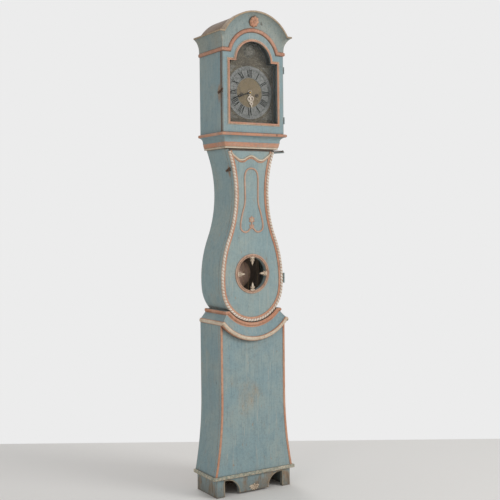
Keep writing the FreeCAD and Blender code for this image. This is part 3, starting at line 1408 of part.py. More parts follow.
def escape_wheel(at):
    """Thirty raked teeth on a crossed wheel."""
    teeth, tip = S.escape_teeth, float(S.escape_radius)
    step, root = 360 / float(teeth), tip - 4.5
    body = doc.addObject("PartDesign::Body", "EscapeWheel")
    sketch = new_sketch(body, "XZ_Plane")
    round_hole(sketch, (0, 0), tip)
    blank = body.newObject("PartDesign::Pad", "EscapeBlank")
    blank.Profile = sketch
    blank.Length = 1.5
    space = [on_circle((0, 0), radius, step * share)
             for radius, share in ((tip + 1, -0.44), (tip, -0.44), (root, -0.1), (root, 0.36), (tip, 0.46),
                                   (tip + 1, 0.46))]
    carve(body, sketch, "EscapeSpace", space + space[:1], teeth)
    hub, rim = 5, root - 2
    low, high = on_circle((0, 0), hub, 20), on_circle((0, 0), rim, 38)
    window = [flip(low), arc_to((0, 0), hub, flip(low), low), high, arc_to((0, 0), rim, high, flip(high)),
              flip(low)]
    carve(body, sketch, "EscapeCrossing", window, 4)
    return put(body, at.escape[0], 116.5, at.escape[1])


def hand(name, path, turn, near, far, hub, bore):
    """A hand pointing up in its own frame, turned to the hour."""
    blade = turn_to(front_board(name + "Blade", near, far, mirrored(path)), turn)
    put(blade, depth=near, z=S.dial_centre)
    eye = round_bar(name + "Eye", 0, S.dial_centre, hub, near, far)
    hole = round_bar(name + "Bore", 0, S.dial_centre, bore, near - 1, far + 1)
    return cut(name, fuse(name + "Whole", [blade, eye]), hole)


def motion_work(at):
    """The wheels behind the dial, and the two hands."""
    gap, front = S.pivot_gap, S.front_plate + S.plate
    hour_pitch = (at.motion[1] - float(S.dial_centre)) * 2 / float(S.hour_teeth + S.leaves)
    turn = mesh_turn(0, S.cannon_teeth, 0, S.minute_teeth)
    pieces = [toothed("MinuteWheel", *at.motion, S.minute_teeth, S.motion_pitch, MOTION_TOOTH, front + 1.5,
                      front + 3, 1.5 + gap, turn=turn),
              toothed("MinutePinion", *at.motion, S.leaves, hour_pitch, PINION_LEAF, front + 3, front + 6.8,
                      1.5 + gap)]
    node(fuse("MinuteWheelWhole", pieces), "minute_wheel")
    turn = mesh_turn(0, S.leaves, 180, S.hour_teeth)
    pipe = disc("HourPipe", 0, S.dial_centre, S.pipe_radius, front + 6.5, S.dial_depth + 4.2,
                [((0, 0), 3 + gap)])
    wheel = toothed("HourWheel", *at.centre, S.hour_teeth, hour_pitch, WHEEL_TOOTH, front + 4.5, front + 6.5,
                    3 + gap, turn=turn)
    node(fuse("HourWheelWhole", [wheel, pipe]), "hour_wheel")
    short = [(0, 0), (4, 0), (3, 34), (8, 38), (10, 43), (8, 48), (3.5, 52), (2.5, 58), (0, 70)]
    long = [(0, 0), (3.4, 0), (2.4, 52), (5, 55), (5, 59), (2, 63), (1.6, 68), (0, 103)]
    node(hand("HourHand", short, S.hour_turn, S.dial_depth + 3, S.dial_depth + 4.2, 9, S.pipe_radius),
         "hour_hand")
    node(hand("MinuteHand", long, S.minute_turn, S.dial_depth + 5.8, S.dial_depth + 7, 6.5, 3), "minute_hand")


def striking(at):
    """The second train: barrel, great wheel, pin wheel, hammer and bell."""
    gap = S.pivot_gap
    node(barrel("StrikeBarrel", at.strike), "strike_barrel")
    node(toothed("StrikeGreat", *at.strike, S.great_teeth, at.great_pitch, WHEEL_TOOTH, 102, 105, 4 + gap),
         "strike_great_wheel")
    turn = mesh_turn(0, S.great_teeth, bearing(at.strike, at.pin), S.leaves)
    pieces = [fine_arbor("PinArbor", at.pin),
              toothed("PinPinion", *at.pin, S.leaves, at.great_pitch, PINION_LEAF, 100, 106, turn=turn),
              disc("PinWheel", *at.pin, S.pin_wheel, 146, 148)]
    for number in range(6):
        x, z = on_circle(at.pin, S.pin_wheel - 3.5, number * 60)
        pieces.append(round_bar(f"StrikePin{number}", x, z, 1, 141.5, 146))
    node(fuse("PinWhole", pieces), "pin_wheel")
    x, z = at.hammer
    bell_low, bell_radius, bell_depth = S.plate_top + 21, 38, 105
    arm = front_board("HammerArm", bell_depth - 2, bell_depth + 2,
                      [(x - 3, z), (x + 3, z), (x + 11, z + 44), (x + 7, z + 44), (x - 3, z)])
    tail = front_board("HammerTail", 142, 145, [(x - 2.5, z), (x + 5, z - 41), (x + 7, z - 41), (x + 2.5, z),
                                               (x - 2.5, z)])
    head = bar_across("HammerHead", 5, -bell_radius - 12, -bell_radius - 1.3, 0, 0, bell_depth,
                      bell_low + 3)
    node(fuse("Hammer", [fine_arbor("HammerArbor", at.hammer), arm, tail, head]), "hammer")
    shell = turned("BellShell", [(0, 24), (bell_radius, 24), (bell_radius, 0), (bell_radius - 3, 0),
                                 (bell_radius - 3, 21), (0, 21)],
                   "XZ_Plane", 0, bell_depth, bell_low)
    stand = post("BellStand", 0, bell_depth, 2.5, S.plate_top - 1, bell_low + 29)
    foot = block("BellFoot", (-7, 7), (S.back_plate, bell_depth + 4), (S.plate_top - 6, S.plate_top))
    node(fuse("Bell", [shell, stand, foot]), "bell")


def pendulum(at):
    """Cock, spring, rod and bob; the anchor's crutch takes the rod between two prongs."""
    depth, top = S.pendulum_depth, S.suspension_height
    back = S.back_plate - S.plate
    cock = [block("CockFoot", (-12, 12), (back - 3, back), (top + 4, S.plate_top)),
            block("CockArm", (-8, 8), (depth - 10, back), (top + 4, top + 13)),
            block("CockChops", (-4, 4), (depth - 7, depth + 7), (top + 1.5, top + 5))]
    node(fuse("Cock", cock), "suspension_cock")
    low = S.bob_height - S.bob_radius - 14
    rod = [block("Spring", (-0.2, 0.2), (depth - 5, depth + 5), (top - 18, top + 1.2)),
           block("RodChops", (-3, 3), (depth - 7, depth + 7), (top - 26, top - 17)),
           post("Rod", 0, depth, S.rod_radius, low, top - 25),
           post("RatingNut", 0, depth, 7, low + 3, low + 9)]
    node(fuse("PendulumRod", rod), "pendulum_rod")
    half = S.bob_thick / 2
    bend = S.bob_radius * 0.6
    rim = S.bob_radius
    lens = turned("BobLens", [(0, -half), (bend, -half), (bend, -half * 0.5), (rim, -half * 0.5),
                              (rim, half * 0.5), (bend, half * 0.5), (bend, half), (0, half)],
                  depth=depth, z=S.bob_height)
    bore = post("BobBore", 0, depth, S.rod_radius + S.pivot_gap, S.bob_height - 70, S.bob_height + 70)
    node(cut("Bob", lens, bore), "pendulum_bob")
    x, z = 20.5, top - 17
    anchor = [(0, top + 5), (7, top + 4), (x + 3, z + 5), (x + 2, z - 1), (x, z), (17, z + 7), (9, top - 5),
              (0, top - 3.5)]
    crutch_far = back - 4.5
    pieces = [round_bar("AnchorArbor", *at.anchor, S.fine_arbor, crutch_far - 2.5, S.front_plate + S.plate),
              front_board("Anchor", 116, 118.5, mirrored(anchor)),
              block("Crutch", (-3, 3), (crutch_far - 2.5, crutch_far), (top - 118, top + 3)),
              block("CrutchFoot", (-6, 6), (crutch_far - 2.5, crutch_far), (top - 120, top - 112))]
    for name, left in (("Right", S.rod_radius + 0.3), ("Left", -S.rod_radius - 3.3)):
        pieces.append(block("Prong" + name, (left, left + 3), (depth - 5, crutch_far), (top - 120, top - 112)))
    node(fuse("AnchorWhole", pieces), "anchor")


def weights():
    """Two weights, each on a pulley whose line hangs in two strands from the seatboard."""
    depth = S.drum_depth
    inner = S.winding_half - S.drum_radius - S.line_radius
    middle = inner + S.pulley_radius
    high, top = S.pulley_height, S.weight_top
    for name, label, sign in (("Going", "going", 1), ("Strike", "strike", -1)):
        x = middle * sign
        radius, low = S.weight_radius, top - S.weight_length
        iron = post(name + "Iron", x, depth, radius, low, top)
        frame = [post(name + "Eye", x, depth, 3, top - 1, high - 34),
                 block(name + "Bridge", (x - 5, x + 5), (depth - 7, depth + 7), (high - 38, high - 31)),
                 block(name + "CheekBack", (x - 4, x + 4), (depth - 7, depth - 4.5), (high - 33, high + 6)),
                 block(name + "CheekFront", (x - 4, x + 4), (depth + 4.5, depth + 7), (high - 33, high + 6)),
                 round_bar(name + "Pin", x, high, 1.5, depth - 8, depth + 8)]
        node(fuse(name + "Weight", [iron] + frame), "weight_" + label)
        groove, rim, bore = S.pulley_radius - S.line_radius - S.wood_gap, S.pulley_radius + 2, 1.5 + S.pivot_gap
        wheel = turned(name + "Pulley", [(bore, -3.5), (rim, -3.5), (rim, -1.5), (groove, -1.5), (groove, 1.5),
                                         (rim, 1.5), (rim, 3.5), (bore, 3.5)],
                       depth=depth, x=x, z=high)
        node(wheel, "pulley_" + label)
        strands = [post(f"{name}Strand{place}", sign * across_x, depth, S.line_radius, high, S.cheek_top)
                   for place, across_x in enumerate((inner, inner + S.pulley_radius * 2))]
        group("line_" + label, strands)


def movement():
    at = arbor_places()
    plates(at)
    going_train(at)
    motion_work(at)
    striking(at)
    pendulum(at)
    weights()


# ----------------------------------------------------------------------------- main

plinth()
base_front = base()
collar(base_front)
waist_side = waist()
waist_door()
throat()
hood()
hood_door()
waist_ironwork(waist_side)
hood_ironwork()
dial()
movement()

doc.recompute()
failed = [thing.Name for thing in doc.Objects if {"Invalid", "Error"} & set(thing.State)]
failed += [thing.Label for thing in NODES if thing.Shape.isNull() or not thing.Shape.isValid()]
if failed:
    raise RuntimeError("these did not build: " + ", ".join(failed))
os.makedirs("parts", exist_ok=True)
for thing in NODES:
    thing.Shape.exportStep(f"parts/{thing.Label}.step")
    print(thing.Label, len(thing.Shape.Solids), round(thing.Shape.Volume))
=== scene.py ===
import math

import bmesh
import bpy
import numpy as np
from mathutils import Matrix, Vector


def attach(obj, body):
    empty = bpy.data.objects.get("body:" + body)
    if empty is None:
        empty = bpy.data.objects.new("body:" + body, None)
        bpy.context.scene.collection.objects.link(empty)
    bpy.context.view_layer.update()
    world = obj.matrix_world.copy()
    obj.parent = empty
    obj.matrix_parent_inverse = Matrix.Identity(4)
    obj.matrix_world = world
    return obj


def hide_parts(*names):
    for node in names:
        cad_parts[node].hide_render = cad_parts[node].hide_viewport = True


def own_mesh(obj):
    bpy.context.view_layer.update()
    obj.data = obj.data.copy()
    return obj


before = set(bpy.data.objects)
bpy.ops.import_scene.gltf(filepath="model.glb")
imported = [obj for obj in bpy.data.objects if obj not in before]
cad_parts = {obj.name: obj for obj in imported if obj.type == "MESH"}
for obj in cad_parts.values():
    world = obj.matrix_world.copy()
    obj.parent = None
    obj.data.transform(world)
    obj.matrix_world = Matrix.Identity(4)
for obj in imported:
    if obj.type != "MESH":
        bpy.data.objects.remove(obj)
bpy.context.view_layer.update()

# The clock stands on z = 0 and faces -Y. Points are written as (x, depth, z) in millimetres, where
# depth is counted forward from the back of the case, as in the part's source. Material masks are
# in metres, as the mesh is. Angles of the front view are in degrees, clockwise from straight up.
BACK = 117.5
TAU = 2 * math.pi

# fronts of the boards that carry ornament, and of the hood's sides
PLINTH_FRONT, BASE_FRONT, DOOR_FRONT, HOOD_FRONT, HOOD_SIDE = 175, 180, 177, 205, 184.5
RING_FRONT = 169.5

# centres in the front view, as (x, z)
WINDOW = (0, 967)
DIAL = (0, 1758)
ARCH = (0, 1896)
CROWN = (0, 1917)
ROSETTE = (0, 2056)

# the drums, and the lines with their weights, on either side of the middle
DRUM_X, DRUM_Z = 38.5, 1748
WEIGHT_X, LINE_DEPTH, PULLEY_Z, SEAT_Z = 37, 122, 470, 1650


def V(x, depth, z):
    return Vector((x, BACK - depth, z)) / 1000


# -------- colours


def srgb(*colour):
    """A colour written in 8-bit sRGB, as linear RGBA."""
    shares = [value / 255 for value in colour]
    return (*(s / 12.92 if s <= 0.04045 else ((s + 0.055) / 1.055) ** 2.4 for s in shares), 1.0)


def tones(*colours):
    """A paint's main, light and dark tone, or a metal's main, dull and spotted one."""
    return tuple(srgb(*colour) for colour in colours)


WOOD_PALE = srgb(160, 134, 106)
WOOD_DARK = srgb(84, 64, 48)
WOOD_FIBRE = srgb(52, 38, 28)
WOOD_DIRT = srgb(88, 80, 68)
WOOD_EDGE = srgb(176, 150, 118)
KNOT = srgb(70, 58, 48)
FLECK = srgb(112, 108, 94)
SCUFF = srgb(184, 178, 162)
RUBBED = srgb(156, 148, 130)
SMUDGE = srgb(128, 124, 110)
FLOOR_DIRT = srgb(98, 88, 74)
# dirt and painted shade round the joints
RIM_DIRT_AND_SHADE = srgb(120, 92, 70)
# painted shade for the deep corners, laid where the occlusion mask finds them
CORNER_SHADE = srgb(66, 52, 42)
RUSTY_GROUND = srgb(92, 68, 52)
DARK_TIP = srgb(70, 62, 54)

TEAL = tones((133, 156, 160), (147, 163, 161), (104, 131, 139))
TEAL_WAIST = tones((139, 161, 163), (154, 168, 163), (110, 136, 142))
TEAL_CROWN = tones((138, 152, 150), (152, 158, 149), (110, 128, 129))
SALMON = tones((197, 137, 106), (206, 157, 129), (152, 96, 68))
# a darker salmon for the arch bead: dirt and painted shade
SALMON_DIRT_AND_SHADE = tones((184, 127, 101), (196, 148, 123), (132, 84, 64))
SALMON_PALE = tones((200, 156, 132), (208, 172, 150), (164, 116, 92))
CREAM = tones((212, 193, 168), (222, 208, 186), (168, 138, 110))
CREAM_WORN = tones((176, 170, 148), (190, 182, 160), (128, 128, 112))
CHALK = tones((140, 146, 134), (164, 162, 144), (108, 112, 102))
CHALK_PALE = tones((190, 180, 156), (206, 196, 174), (150, 140, 120))
CROWN_EDGE = tones((170, 148, 120), (186, 168, 142), (128, 104, 80))
ROPE = tones((218, 206, 188), (228, 220, 206), (176, 154, 132))
ROPE_GROOVE = tones((178, 132, 108), (192, 152, 128), (136, 100, 80))
DUSTY = tones((156, 150, 134), (164, 158, 142), (120, 128, 122))
# painted shade for the gap between the hood's sides and its door
GAP_SHADE = tones((74, 58, 46), (92, 74, 58), (52, 40, 32))
BARE = tones((152, 126, 102), (172, 150, 124), (104, 80, 62))

RUST = tones((112, 84, 64), (84, 62, 48), (62, 46, 38))
IRON = tones((84, 76, 68), (58, 48, 42), (98, 62, 42))
BRASS = tones((176, 146, 88), (132, 106, 62), (84, 70, 44))
STEEL = tones((150, 148, 144), (112, 110, 106), (74, 70, 66))
LEAD = tones((108, 106, 104), (84, 82, 80), (66, 62, 60))
BLACK = tones((24, 23, 22), (32, 30, 28), (16, 15, 14))
SILVER = tones((190, 178, 162), (150, 136, 120), (84, 70, 58))
COPPER = tones((238, 200, 178), (212, 172, 152), (164, 130, 114))
DIAL_PLATE = tones((102, 94, 78), (78, 70, 56), (42, 35, 27))
DIAL_GOLD = tones((112, 98, 74), (90, 77, 57))
PEWTER = tones((126, 127, 124), (110, 111, 108), (86, 86, 83))
BOSS = tones((112, 109, 100), (92, 88, 78), (50, 44, 37))

# -------- material nodes

# how the grain stretches a pattern: upright boards, boards across, mouldings, carved pieces
GRAIN_UP = (1, 1, 0.05)
GRAIN_ACROSS = (0.05, 1, 1)
GRAIN_MOULDING = (0.2, 1, 1)
GRAIN_CARVED = (1, 1, 0.3)


def put(tree, value, socket):
    """Links a node's output to a socket, or sets the socket to a plain value."""
    if isinstance(value, bpy.types.NodeSocket):
        tree.links.new(value, socket)
    else:
        socket.default_value = value


def new_node(tree, kind, inputs=None, **settings):
    made = tree.nodes.new("ShaderNode" + kind)
    for key, value in settings.items():
        setattr(made, key, value)
    for key, value in (inputs or {}).items():
        put(tree, value, made.inputs[key])
    return made


class Net:
    """A material's node tree, with short calls for the nodes used here."""

    def __init__(self, name):
        self.material = bpy.data.materials.new(name)
        self.material.use_nodes = True
        self.tree = self.material.node_tree
        self.tree.nodes.clear()
        self.shader = self.node("BsdfPrincipled")
        self.node("OutputMaterial", {0: self.shader.outputs[0]})
        self.position = self.node("TexCoord").outputs["Object"]
        self.x, self.y, self.z = self.node("SeparateXYZ", {0: self.position}).outputs

    def node(self, kind, inputs=None, **settings):
        return new_node(self.tree, kind, inputs, **settings)

    def math(self, operation, first, second=0.0):
        return self.node("Math", {0: first, 1: second}, operation=operation).outputs[0]

    def plus(self, first, second):
        return self.math("ADD", first, second)

    def minus(self, first, second):
        return self.math("SUBTRACT", first, second)

    def times(self, first, second):
        return self.math("MULTIPLY", first, second)

    def noise(self, scale, detail, rough=0.55, warp=0.0, grain=None):
        """Noise, stretched along x, y and z by the grain."""
        place = self.position
        if grain:
            place = self.node("Mapping", {"Vector": place, "Scale": grain}).outputs[0]
        return self.node("TexNoise", {"Vector": place, "Scale": scale, "Detail": detail,
                                      "Roughness": rough, "Distortion": warp}).outputs[0]

    def step(self, value, low, high):
        """0 below low, 1 above high, smooth between."""
        return self.node("MapRange", {"Value": value, "From Min": low, "From Max": high},
                         interpolation_type="SMOOTHSTEP").outputs[0]

    def mix(self, share, first, second):
        return self.node("Mix", {0: share, 6: first, 7: second}, data_type="RGBA").outputs[2]

    def over(self, colour, other, mask, share):
        """The colour under a coat of another one, which is share thick where mask is 1."""
        return self.mix(self.times(mask, share), colour, other)

    def oval(self, across, middle, wide, z, tall):
        """Distance from the middle of an oval spot, 1 on its rim."""
        u = self.math("DIVIDE", self.minus(across, middle), wide)
        v = self.math("DIVIDE", self.minus(self.z, z), tall)
        return self.math("SQRT", self.plus(self.times(u, u), self.times(v, v)))

    def edges(self, radius):
        """1 on outward edges and 0 on flat faces."""
        rounded = self.node("Bevel", {"Radius": radius}, samples=4).outputs[0]
        plain = self.node("NewGeometry").outputs["Normal"]
        dot = self.node("VectorMath", {0: rounded, 1: plain}, operation="DOT_PRODUCT")
        return self.step(dot.outputs["Value"], 0.995, 0.86)

    def crevice(self, reach):
        """1 deep in corners and 0 in the open."""
        made = self.node("AmbientOcclusion", {"Distance": reach}, samples=4)
        return self.step(made.outputs["AO"], 0.85, 0.3)

    def bump(self, height, strength, distance):
        made = self.node("Bump", {"Strength": strength, "Distance": distance, "Height": height})
        put(self.tree, made.outputs[0], self.shader.inputs["Normal"])

    def finish(self, colour, rough, metallic=0.0):
        for key, value in (("Base Color", colour), ("Roughness", rough), ("Metallic", metallic)):
            put(self.tree, value, self.shader.inputs[key])
        return self.material


def layer(net, colours, patch, grain):
    """Three tones of one paint, cloudy and streaked along the grain."""
    main, light, dark = colours
    tone = net.mix(net.step(patch, 0.4, 0.64), main, light)
    return net.over(tone, dark, net.step(grain, 0.46, 0.72), 0.6)


def paint(name, colours, zones=(), wear=0.8, grain=GRAIN_UP, under=WOOD_PALE, low_wear=0.0):
    """Old distemper on pine. zones are (mask, colours), where mask takes the net."""
    net = Net(name)
    patch = net.noise(6, 6, 0.62, 0.5)
    blotch = net.noise(15, 7, 0.7, grain=(1, 1, 0.5))
    fibre = net.noise(150, 6, 0.72, 0.2, grain)
    streak = net.noise(38, 5, 0.65, grain=grain)
    colour = layer(net, colours, patch, fibre)
    for mask, other in zones:
        ragged = net.plus(mask(net), net.times(net.minus(blotch, 0.5), 0.5))
        colour = net.mix(net.step(ragged, 0.35, 0.6), colour, layer(net, other, patch, fibre))

    # uneven distemper: soft darker clouds, fine flecks, and pale scuffs along the grain
    cloud = net.noise(42, 5, 0.75, grain=(1, 1, 0.6))
    colour = net.over(colour, colours[2], net.step(cloud, 0.48, 0.66), 0.3)
    mottle = net.noise(150, 3, 0.75)
    colour = net.over(colour, FLECK, net.step(mottle, 0.5, 0.66), 0.34 * wear)
    colour = net.over(colour, colours[1], net.step(mottle, 0.5, 0.36), 0.3 * wear)
    scuff = net.noise(90, 3, 0.8, grain=grain)
    colour = net.over(colour, SCUFF, net.step(scuff, 0.6, 0.68), 0.35 * wear)

    # broad rubbed patches, thin enough to let the ground through
    rubbed = net.times(net.step(blotch, 0.5, 0.68), net.step(streak, 0.38, 0.62))
    colour = net.over(colour, RUBBED, rubbed, 0.4 * wear)
    smudge = net.step(net.noise(3.4, 6, 0.7, 0.8), 0.54, 0.72)
    colour = net.over(colour, SMUDGE, smudge, 0.3 * wear)

    # bare wood on edges and in flakes, and knots that show through
    edge = net.plus(net.edges(0.005), net.times(net.minus(blotch, 0.5), 1.7))
    if low_wear:
        edge = net.plus(edge, net.times(net.step(net.z, 0.22, 0.01), low_wear))
    bare = net.times(net.step(edge, 0.5, 0.8), wear)
    flake = net.noise(90, 4, 0.55, grain=(1, 1, 0.35))
    flake = net.times(net.step(flake, 0.64, 0.7), net.step(blotch, 0.47, 0.6))
    worn = net.math("MAXIMUM", bare, net.times(flake, 0.85 * wear))
    colour = net.mix(worn, colour, net.mix(net.step(fibre, 0.4, 0.7), under, WOOD_DARK))
    knot = net.noise(34, 2, 0.4, grain=(1, 1, 0.55))
    colour = net.over(colour, KNOT, net.step(knot, 0.74, 0.79), 0.65)

    # dirt at the floor, dirt and painted shade round the joints, and painted shade deep in the
    # corners
    if low_wear:
        dirt = net.times(net.step(net.z, 0.11, 0.0), net.plus(net.times(cloud, 0.9), 0.1))
        colour = net.mix(dirt, colour, FLOOR_DIRT)
    # patchy dirt with painted shade round the joints, where the occlusion mask reaches
    rim = net.times(net.step(net.noise(26, 5, 0.7), 0.42, 0.6), net.crevice(0.03))
    colour = net.over(colour, RIM_DIRT_AND_SHADE, rim, 0.55)
    # painted shade: the deep corners darkened through the occlusion mask
    colour = net.over(colour, CORNER_SHADE, net.crevice(0.014), 0.8)

    relief = net.minus(net.plus(fibre, net.times(blotch, 0.6)), net.times(worn, 0.8))
    net.bump(relief, 0.45, 0.0009)
    return net.finish(colour, net.plus(net.times(blotch, 0.35), 0.5))


def timber(name, pale, dark, grain=GRAIN_UP, rough=0.7):
    """Unpainted old pine, with rings and fibres."""
    net = Net(name)
    ring = net.noise(28, 5, 0.6, 1.2, grain)
    fibre = net.noise(220, 5, 0.7, grain=grain)
    colour = net.mix(net.step(ring, 0.35, 0.68), srgb(*pale), srgb(*dark))
    colour = net.over(colour, WOOD_FIBRE, net.step(fibre, 0.5, 0.75), 0.55)
    dirt = net.noise(9, 5, 0.6)
    colour = net.over(colour, WOOD_DIRT, net.step(dirt, 0.48, 0.75), 0.5)
    colour = net.over(colour, WOOD_EDGE, net.edges(0.002), 0.4)
    net.bump(net.plus(ring, net.times(fibre, 0.7)), 0.4, 0.0008)
    return net.finish(colour, net.plus(net.times(dirt, 0.3), rough - 0.15))


def metal(name, colours, rough, shine, gloss=0.5, tip=None):
    """Old metal with tarnish, pits and bright worn edges. It is dark in front of the depth tip."""
    main, dull, spots = colours
    net = Net(name)
    net.shader.inputs["Specular IOR Level"].default_value = gloss
    cloud = net.noise(38, 6, 0.65, 0.5)
    fine = net.noise(260, 5, 0.7)
    colour = net.mix(net.step(cloud, 0.38, 0.66), main, dull)
    colour = net.over(colour, spots, net.step(fine, 0.55, 0.72), 0.7)
    colour = net.over(colour, main, net.edges(0.0012), 0.5)
    colour = net.over(colour, spots, net.crevice(0.006), 0.6)
    if tip:
        colour = net.mix(depth_mask(tip, tip + 0.6)(net), colour, DARK_TIP)
    net.bump(net.plus(fine, net.times(cloud, 0.4)), 0.3, 0.0003)
    return net.finish(colour, net.plus(net.times(cloud, 0.35), rough - 0.1), shine)


def dial_metal(name, colours, middle=None):
    """Etched dial metal: fine punch marks over scrolling engraved lines."""
    main, dull, spots = colours
    net = Net(name)
    net.shader.inputs["Specular IOR Level"].default_value = 0.2
    cloud = net.noise(26, 6, 0.7, 0.8)
    punch = net.node("TexVoronoi", {"Vector": net.position, "Scale": 620}).outputs["Distance"]
    scroll = net.node("TexWave", {"Vector": net.position, "Scale": 34, "Distortion": 14,
                                  "Detail": 3, "Detail Scale": 1.6},
                      wave_type="RINGS", rings_direction="Y").outputs[1]
    colour = net.mix(net.step(cloud, 0.36, 0.66), main, dull)
    colour = net.over(colour, spots, net.step(net.noise(130, 4, 0.75), 0.46, 0.62), 0.6)
    colour = net.over(colour, spots, net.step(scroll, 0.62, 0.8), 0.45)
    colour = net.over(colour, spots, net.step(punch, 0.34, 0.1), 0.5)
    if middle:
        radius = net.oval(net.x, 0, 1, DIAL[1] / 1000, 1)
        gold = net.mix(net.step(cloud, 0.4, 0.7), *middle)
        colour = net.mix(net.step(radius, 0.0655, 0.064), colour, gold)
    net.bump(net.plus(punch, net.times(scroll, 0.6)), 0.35, 0.0004)
    return net.finish(colour, net.plus(net.times(cloud, 0.3), 0.42), 0.35)


def height_band(low, high):
    """A mask that is 1 between two heights."""
    def above(net, z):
        return net.step(net.z, (z - 0.6) / 1000, (z + 0.6) / 1000)
    return lambda net: net.minus(above(net, low), above(net, high))


def depth_mask(start, full, share=1.0):
    """A mask that grows from 0 at the depth start to share at the depth full."""
    return lambda net: net.times(
        net.step(net.y, (BACK - start) / 1000, (BACK - full) / 1000), share)


def rubbed_spot(depth, z, deep, tall):
    """A worn spot on the clock's left side, where a hand reaches for a hook."""
    def mask(net):
        apart = net.oval(net.y, (BACK - depth) / 1000, deep / 1000, z / 1000, tall / 1000)
        left = net.times(net.step(net.x, -0.05, -0.06), 0.62)
        return net.times(net.step(apart, 1.3, 0.1), left)
    return mask


def dusty_patch(net):
    """The rubbed middle of the base's front."""
    return net.times(net.step(net.oval(net.x, -0.03, 0.12, 0.42, 0.2), 1.5, 0.0), 0.5)


def chalky_patches(net):
    return net.times(net.step(net.noise(70, 4, 0.75), 0.42, 0.56), 0.62)


def left_half(net):
    """Where the iron was left rusty. On the clock's right it was painted over."""
    return net.step(net.x, 0.0, -0.01)


# where the zones are: heights of the throat's mouldings and of the waist door's painted hinge,
# depth and height of the hooks, depths of the door frame's lip and of the painted gap shade behind
# it
THROAT_TOP, THROAT_LOW, THROAT_FILLET = (1566.5, 1580), (1521, 1539.5), (1512, 1521)
PAINTED_HINGE = (800, 1200)
WAIST_HOOK, HOOD_HOOK = (150, 1412), (172, 1745)
FRAME_LIP, FRAME_GAP_SHADE = (205.3, 205.9), (188.5, 187)

teal = paint("teal_paint", TEAL)
teal_door = paint("teal_paint_door", TEAL_WAIST, wear=0.85)
teal_waist = paint("teal_paint_waist", TEAL_WAIST,
                   zones=((rubbed_spot(*WAIST_HOOK, 20, 55), BARE),))
teal_hood = paint("teal_paint_hood", TEAL, wear=0.85, zones=(
    (rubbed_spot(*HOOD_HOOK, 28, 80), BARE),
    (depth_mask(HOOD_SIDE - 11, HOOD_SIDE, 0.56), BARE),
    # painted shade: a dark line along the hood side's front edge, for the gap before the door
    (depth_mask(HOOD_SIDE - 2.4, HOOD_SIDE, 0.9), GAP_SHADE)))
teal_base = paint("teal_paint_base", TEAL, wear=0.9, zones=((dusty_patch, DUSTY),))
teal_low = paint("teal_paint_low", TEAL, wear=0.95, low_wear=0.6)
teal_throat = paint("teal_paint_throat", TEAL, grain=GRAIN_ACROSS, zones=(
    (height_band(*THROAT_TOP), SALMON), (height_band(*THROAT_LOW), SALMON),
    (height_band(*THROAT_FILLET), CREAM)))
teal_frame = paint("teal_paint_frame", TEAL, zones=(
    # the frame's back edge is painted shade of the gap beside the hood's sides
    (depth_mask(*FRAME_LIP), SALMON), (depth_mask(*FRAME_GAP_SHADE), GAP_SHADE)))
teal_crown = paint("teal_paint_crown", TEAL_CROWN, wear=0.95)
crown_edge = paint("crown_edge", CROWN_EDGE, wear=0.9, grain=GRAIN_MOULDING)
salmon = paint("salmon_paint", SALMON, grain=GRAIN_CARVED)
salmon_dirt_and_shade = paint("salmon_paint_dirt_and_shade", SALMON_DIRT_AND_SHADE, wear=1, grain=GRAIN_CARVED)
salmon_pale = paint("salmon_paint_pale", SALMON_PALE, wear=0.9, grain=GRAIN_CARVED)
cream = paint("cream_paint", CREAM, grain=GRAIN_CARVED)
cream_worn = paint("cream_paint_worn", CREAM_WORN, wear=1, grain=GRAIN_ACROSS)
chalky = paint("moulding_paint", CHALK, wear=1, grain=GRAIN_MOULDING,
               zones=((chalky_patches, CHALK_PALE),))
rope_cream = paint("rope_cream", ROPE, wear=0.6, grain=(1, 1, 0.5), under=srgb(190, 128, 98))
rope_groove = paint("rope_groove", ROPE_GROOVE, wear=0.5)
ironwork = paint("painted_iron", TEAL, wear=0.9, under=RUSTY_GROUND, zones=((left_half, RUST),))
door_iron = paint("door_iron", IRON, wear=0.6, under=RUSTY_GROUND,
                  zones=((height_band(*PAINTED_HINGE), TEAL),))
pine = timber("bare_pine", (196, 174, 158), (166, 144, 128))
pine_dark = timber("bare_pine_dark", (122, 98, 80), (84, 64, 52))
pine_along = timber("bare_pine_along", (128, 104, 80), (88, 68, 50), grain=(1, 0.05, 1))
gut = timber("gut_line", (176, 148, 104), (142, 112, 72), grain=GRAIN_CARVED, rough=0.6)
rust = metal("rusty_iron", RUST, 0.7, 0.3)
iron = metal("old_iron", IRON, 0.6, 0.75)
brass = metal("old_brass", BRASS, 0.38, 0.95)
brass_drum = metal("drum_brass", BRASS, 0.38, 0.95, tip=150)
steel = metal("clock_steel", STEEL, 0.32, 0.95)
lead = metal("dull_lead", LEAD, 0.6, 0.5)
ink = metal("black_wax", BLACK, 0.75, 0.0, gloss=0.1)
silver = metal("bright_hand", SILVER, 0.45, 0.5)
copper = metal("bob_metal", COPPER, 0.6, 0.15)
dial_dark = dial_metal("dial_plate_metal", DIAL_PLATE, DIAL_GOLD)
pewter = dial_metal("chapter_pewter", PEWTER)
boss = dial_metal("boss_metal", BOSS)

net = Net("old_glass")
net.shader.inputs["Alpha"].default_value = 0.03
net.shader.inputs["Specular IOR Level"].default_value = 0.25
smear = net.noise(22, 5, 0.6, 1.0)
net.bump(smear, 0.05, 0.0006)
tint = net.mix(net.step(smear, 0.4, 0.7), srgb(196, 204, 200), srgb(176, 180, 172))
glass = net.finish(tint, net.plus(net.times(smear, 0.12), 0.02))

# -------- meshes


def placed(name, data):
    thing = bpy.data.objects.new(name, data)
    bpy.context.scene.collection.objects.link(thing)
    return thing


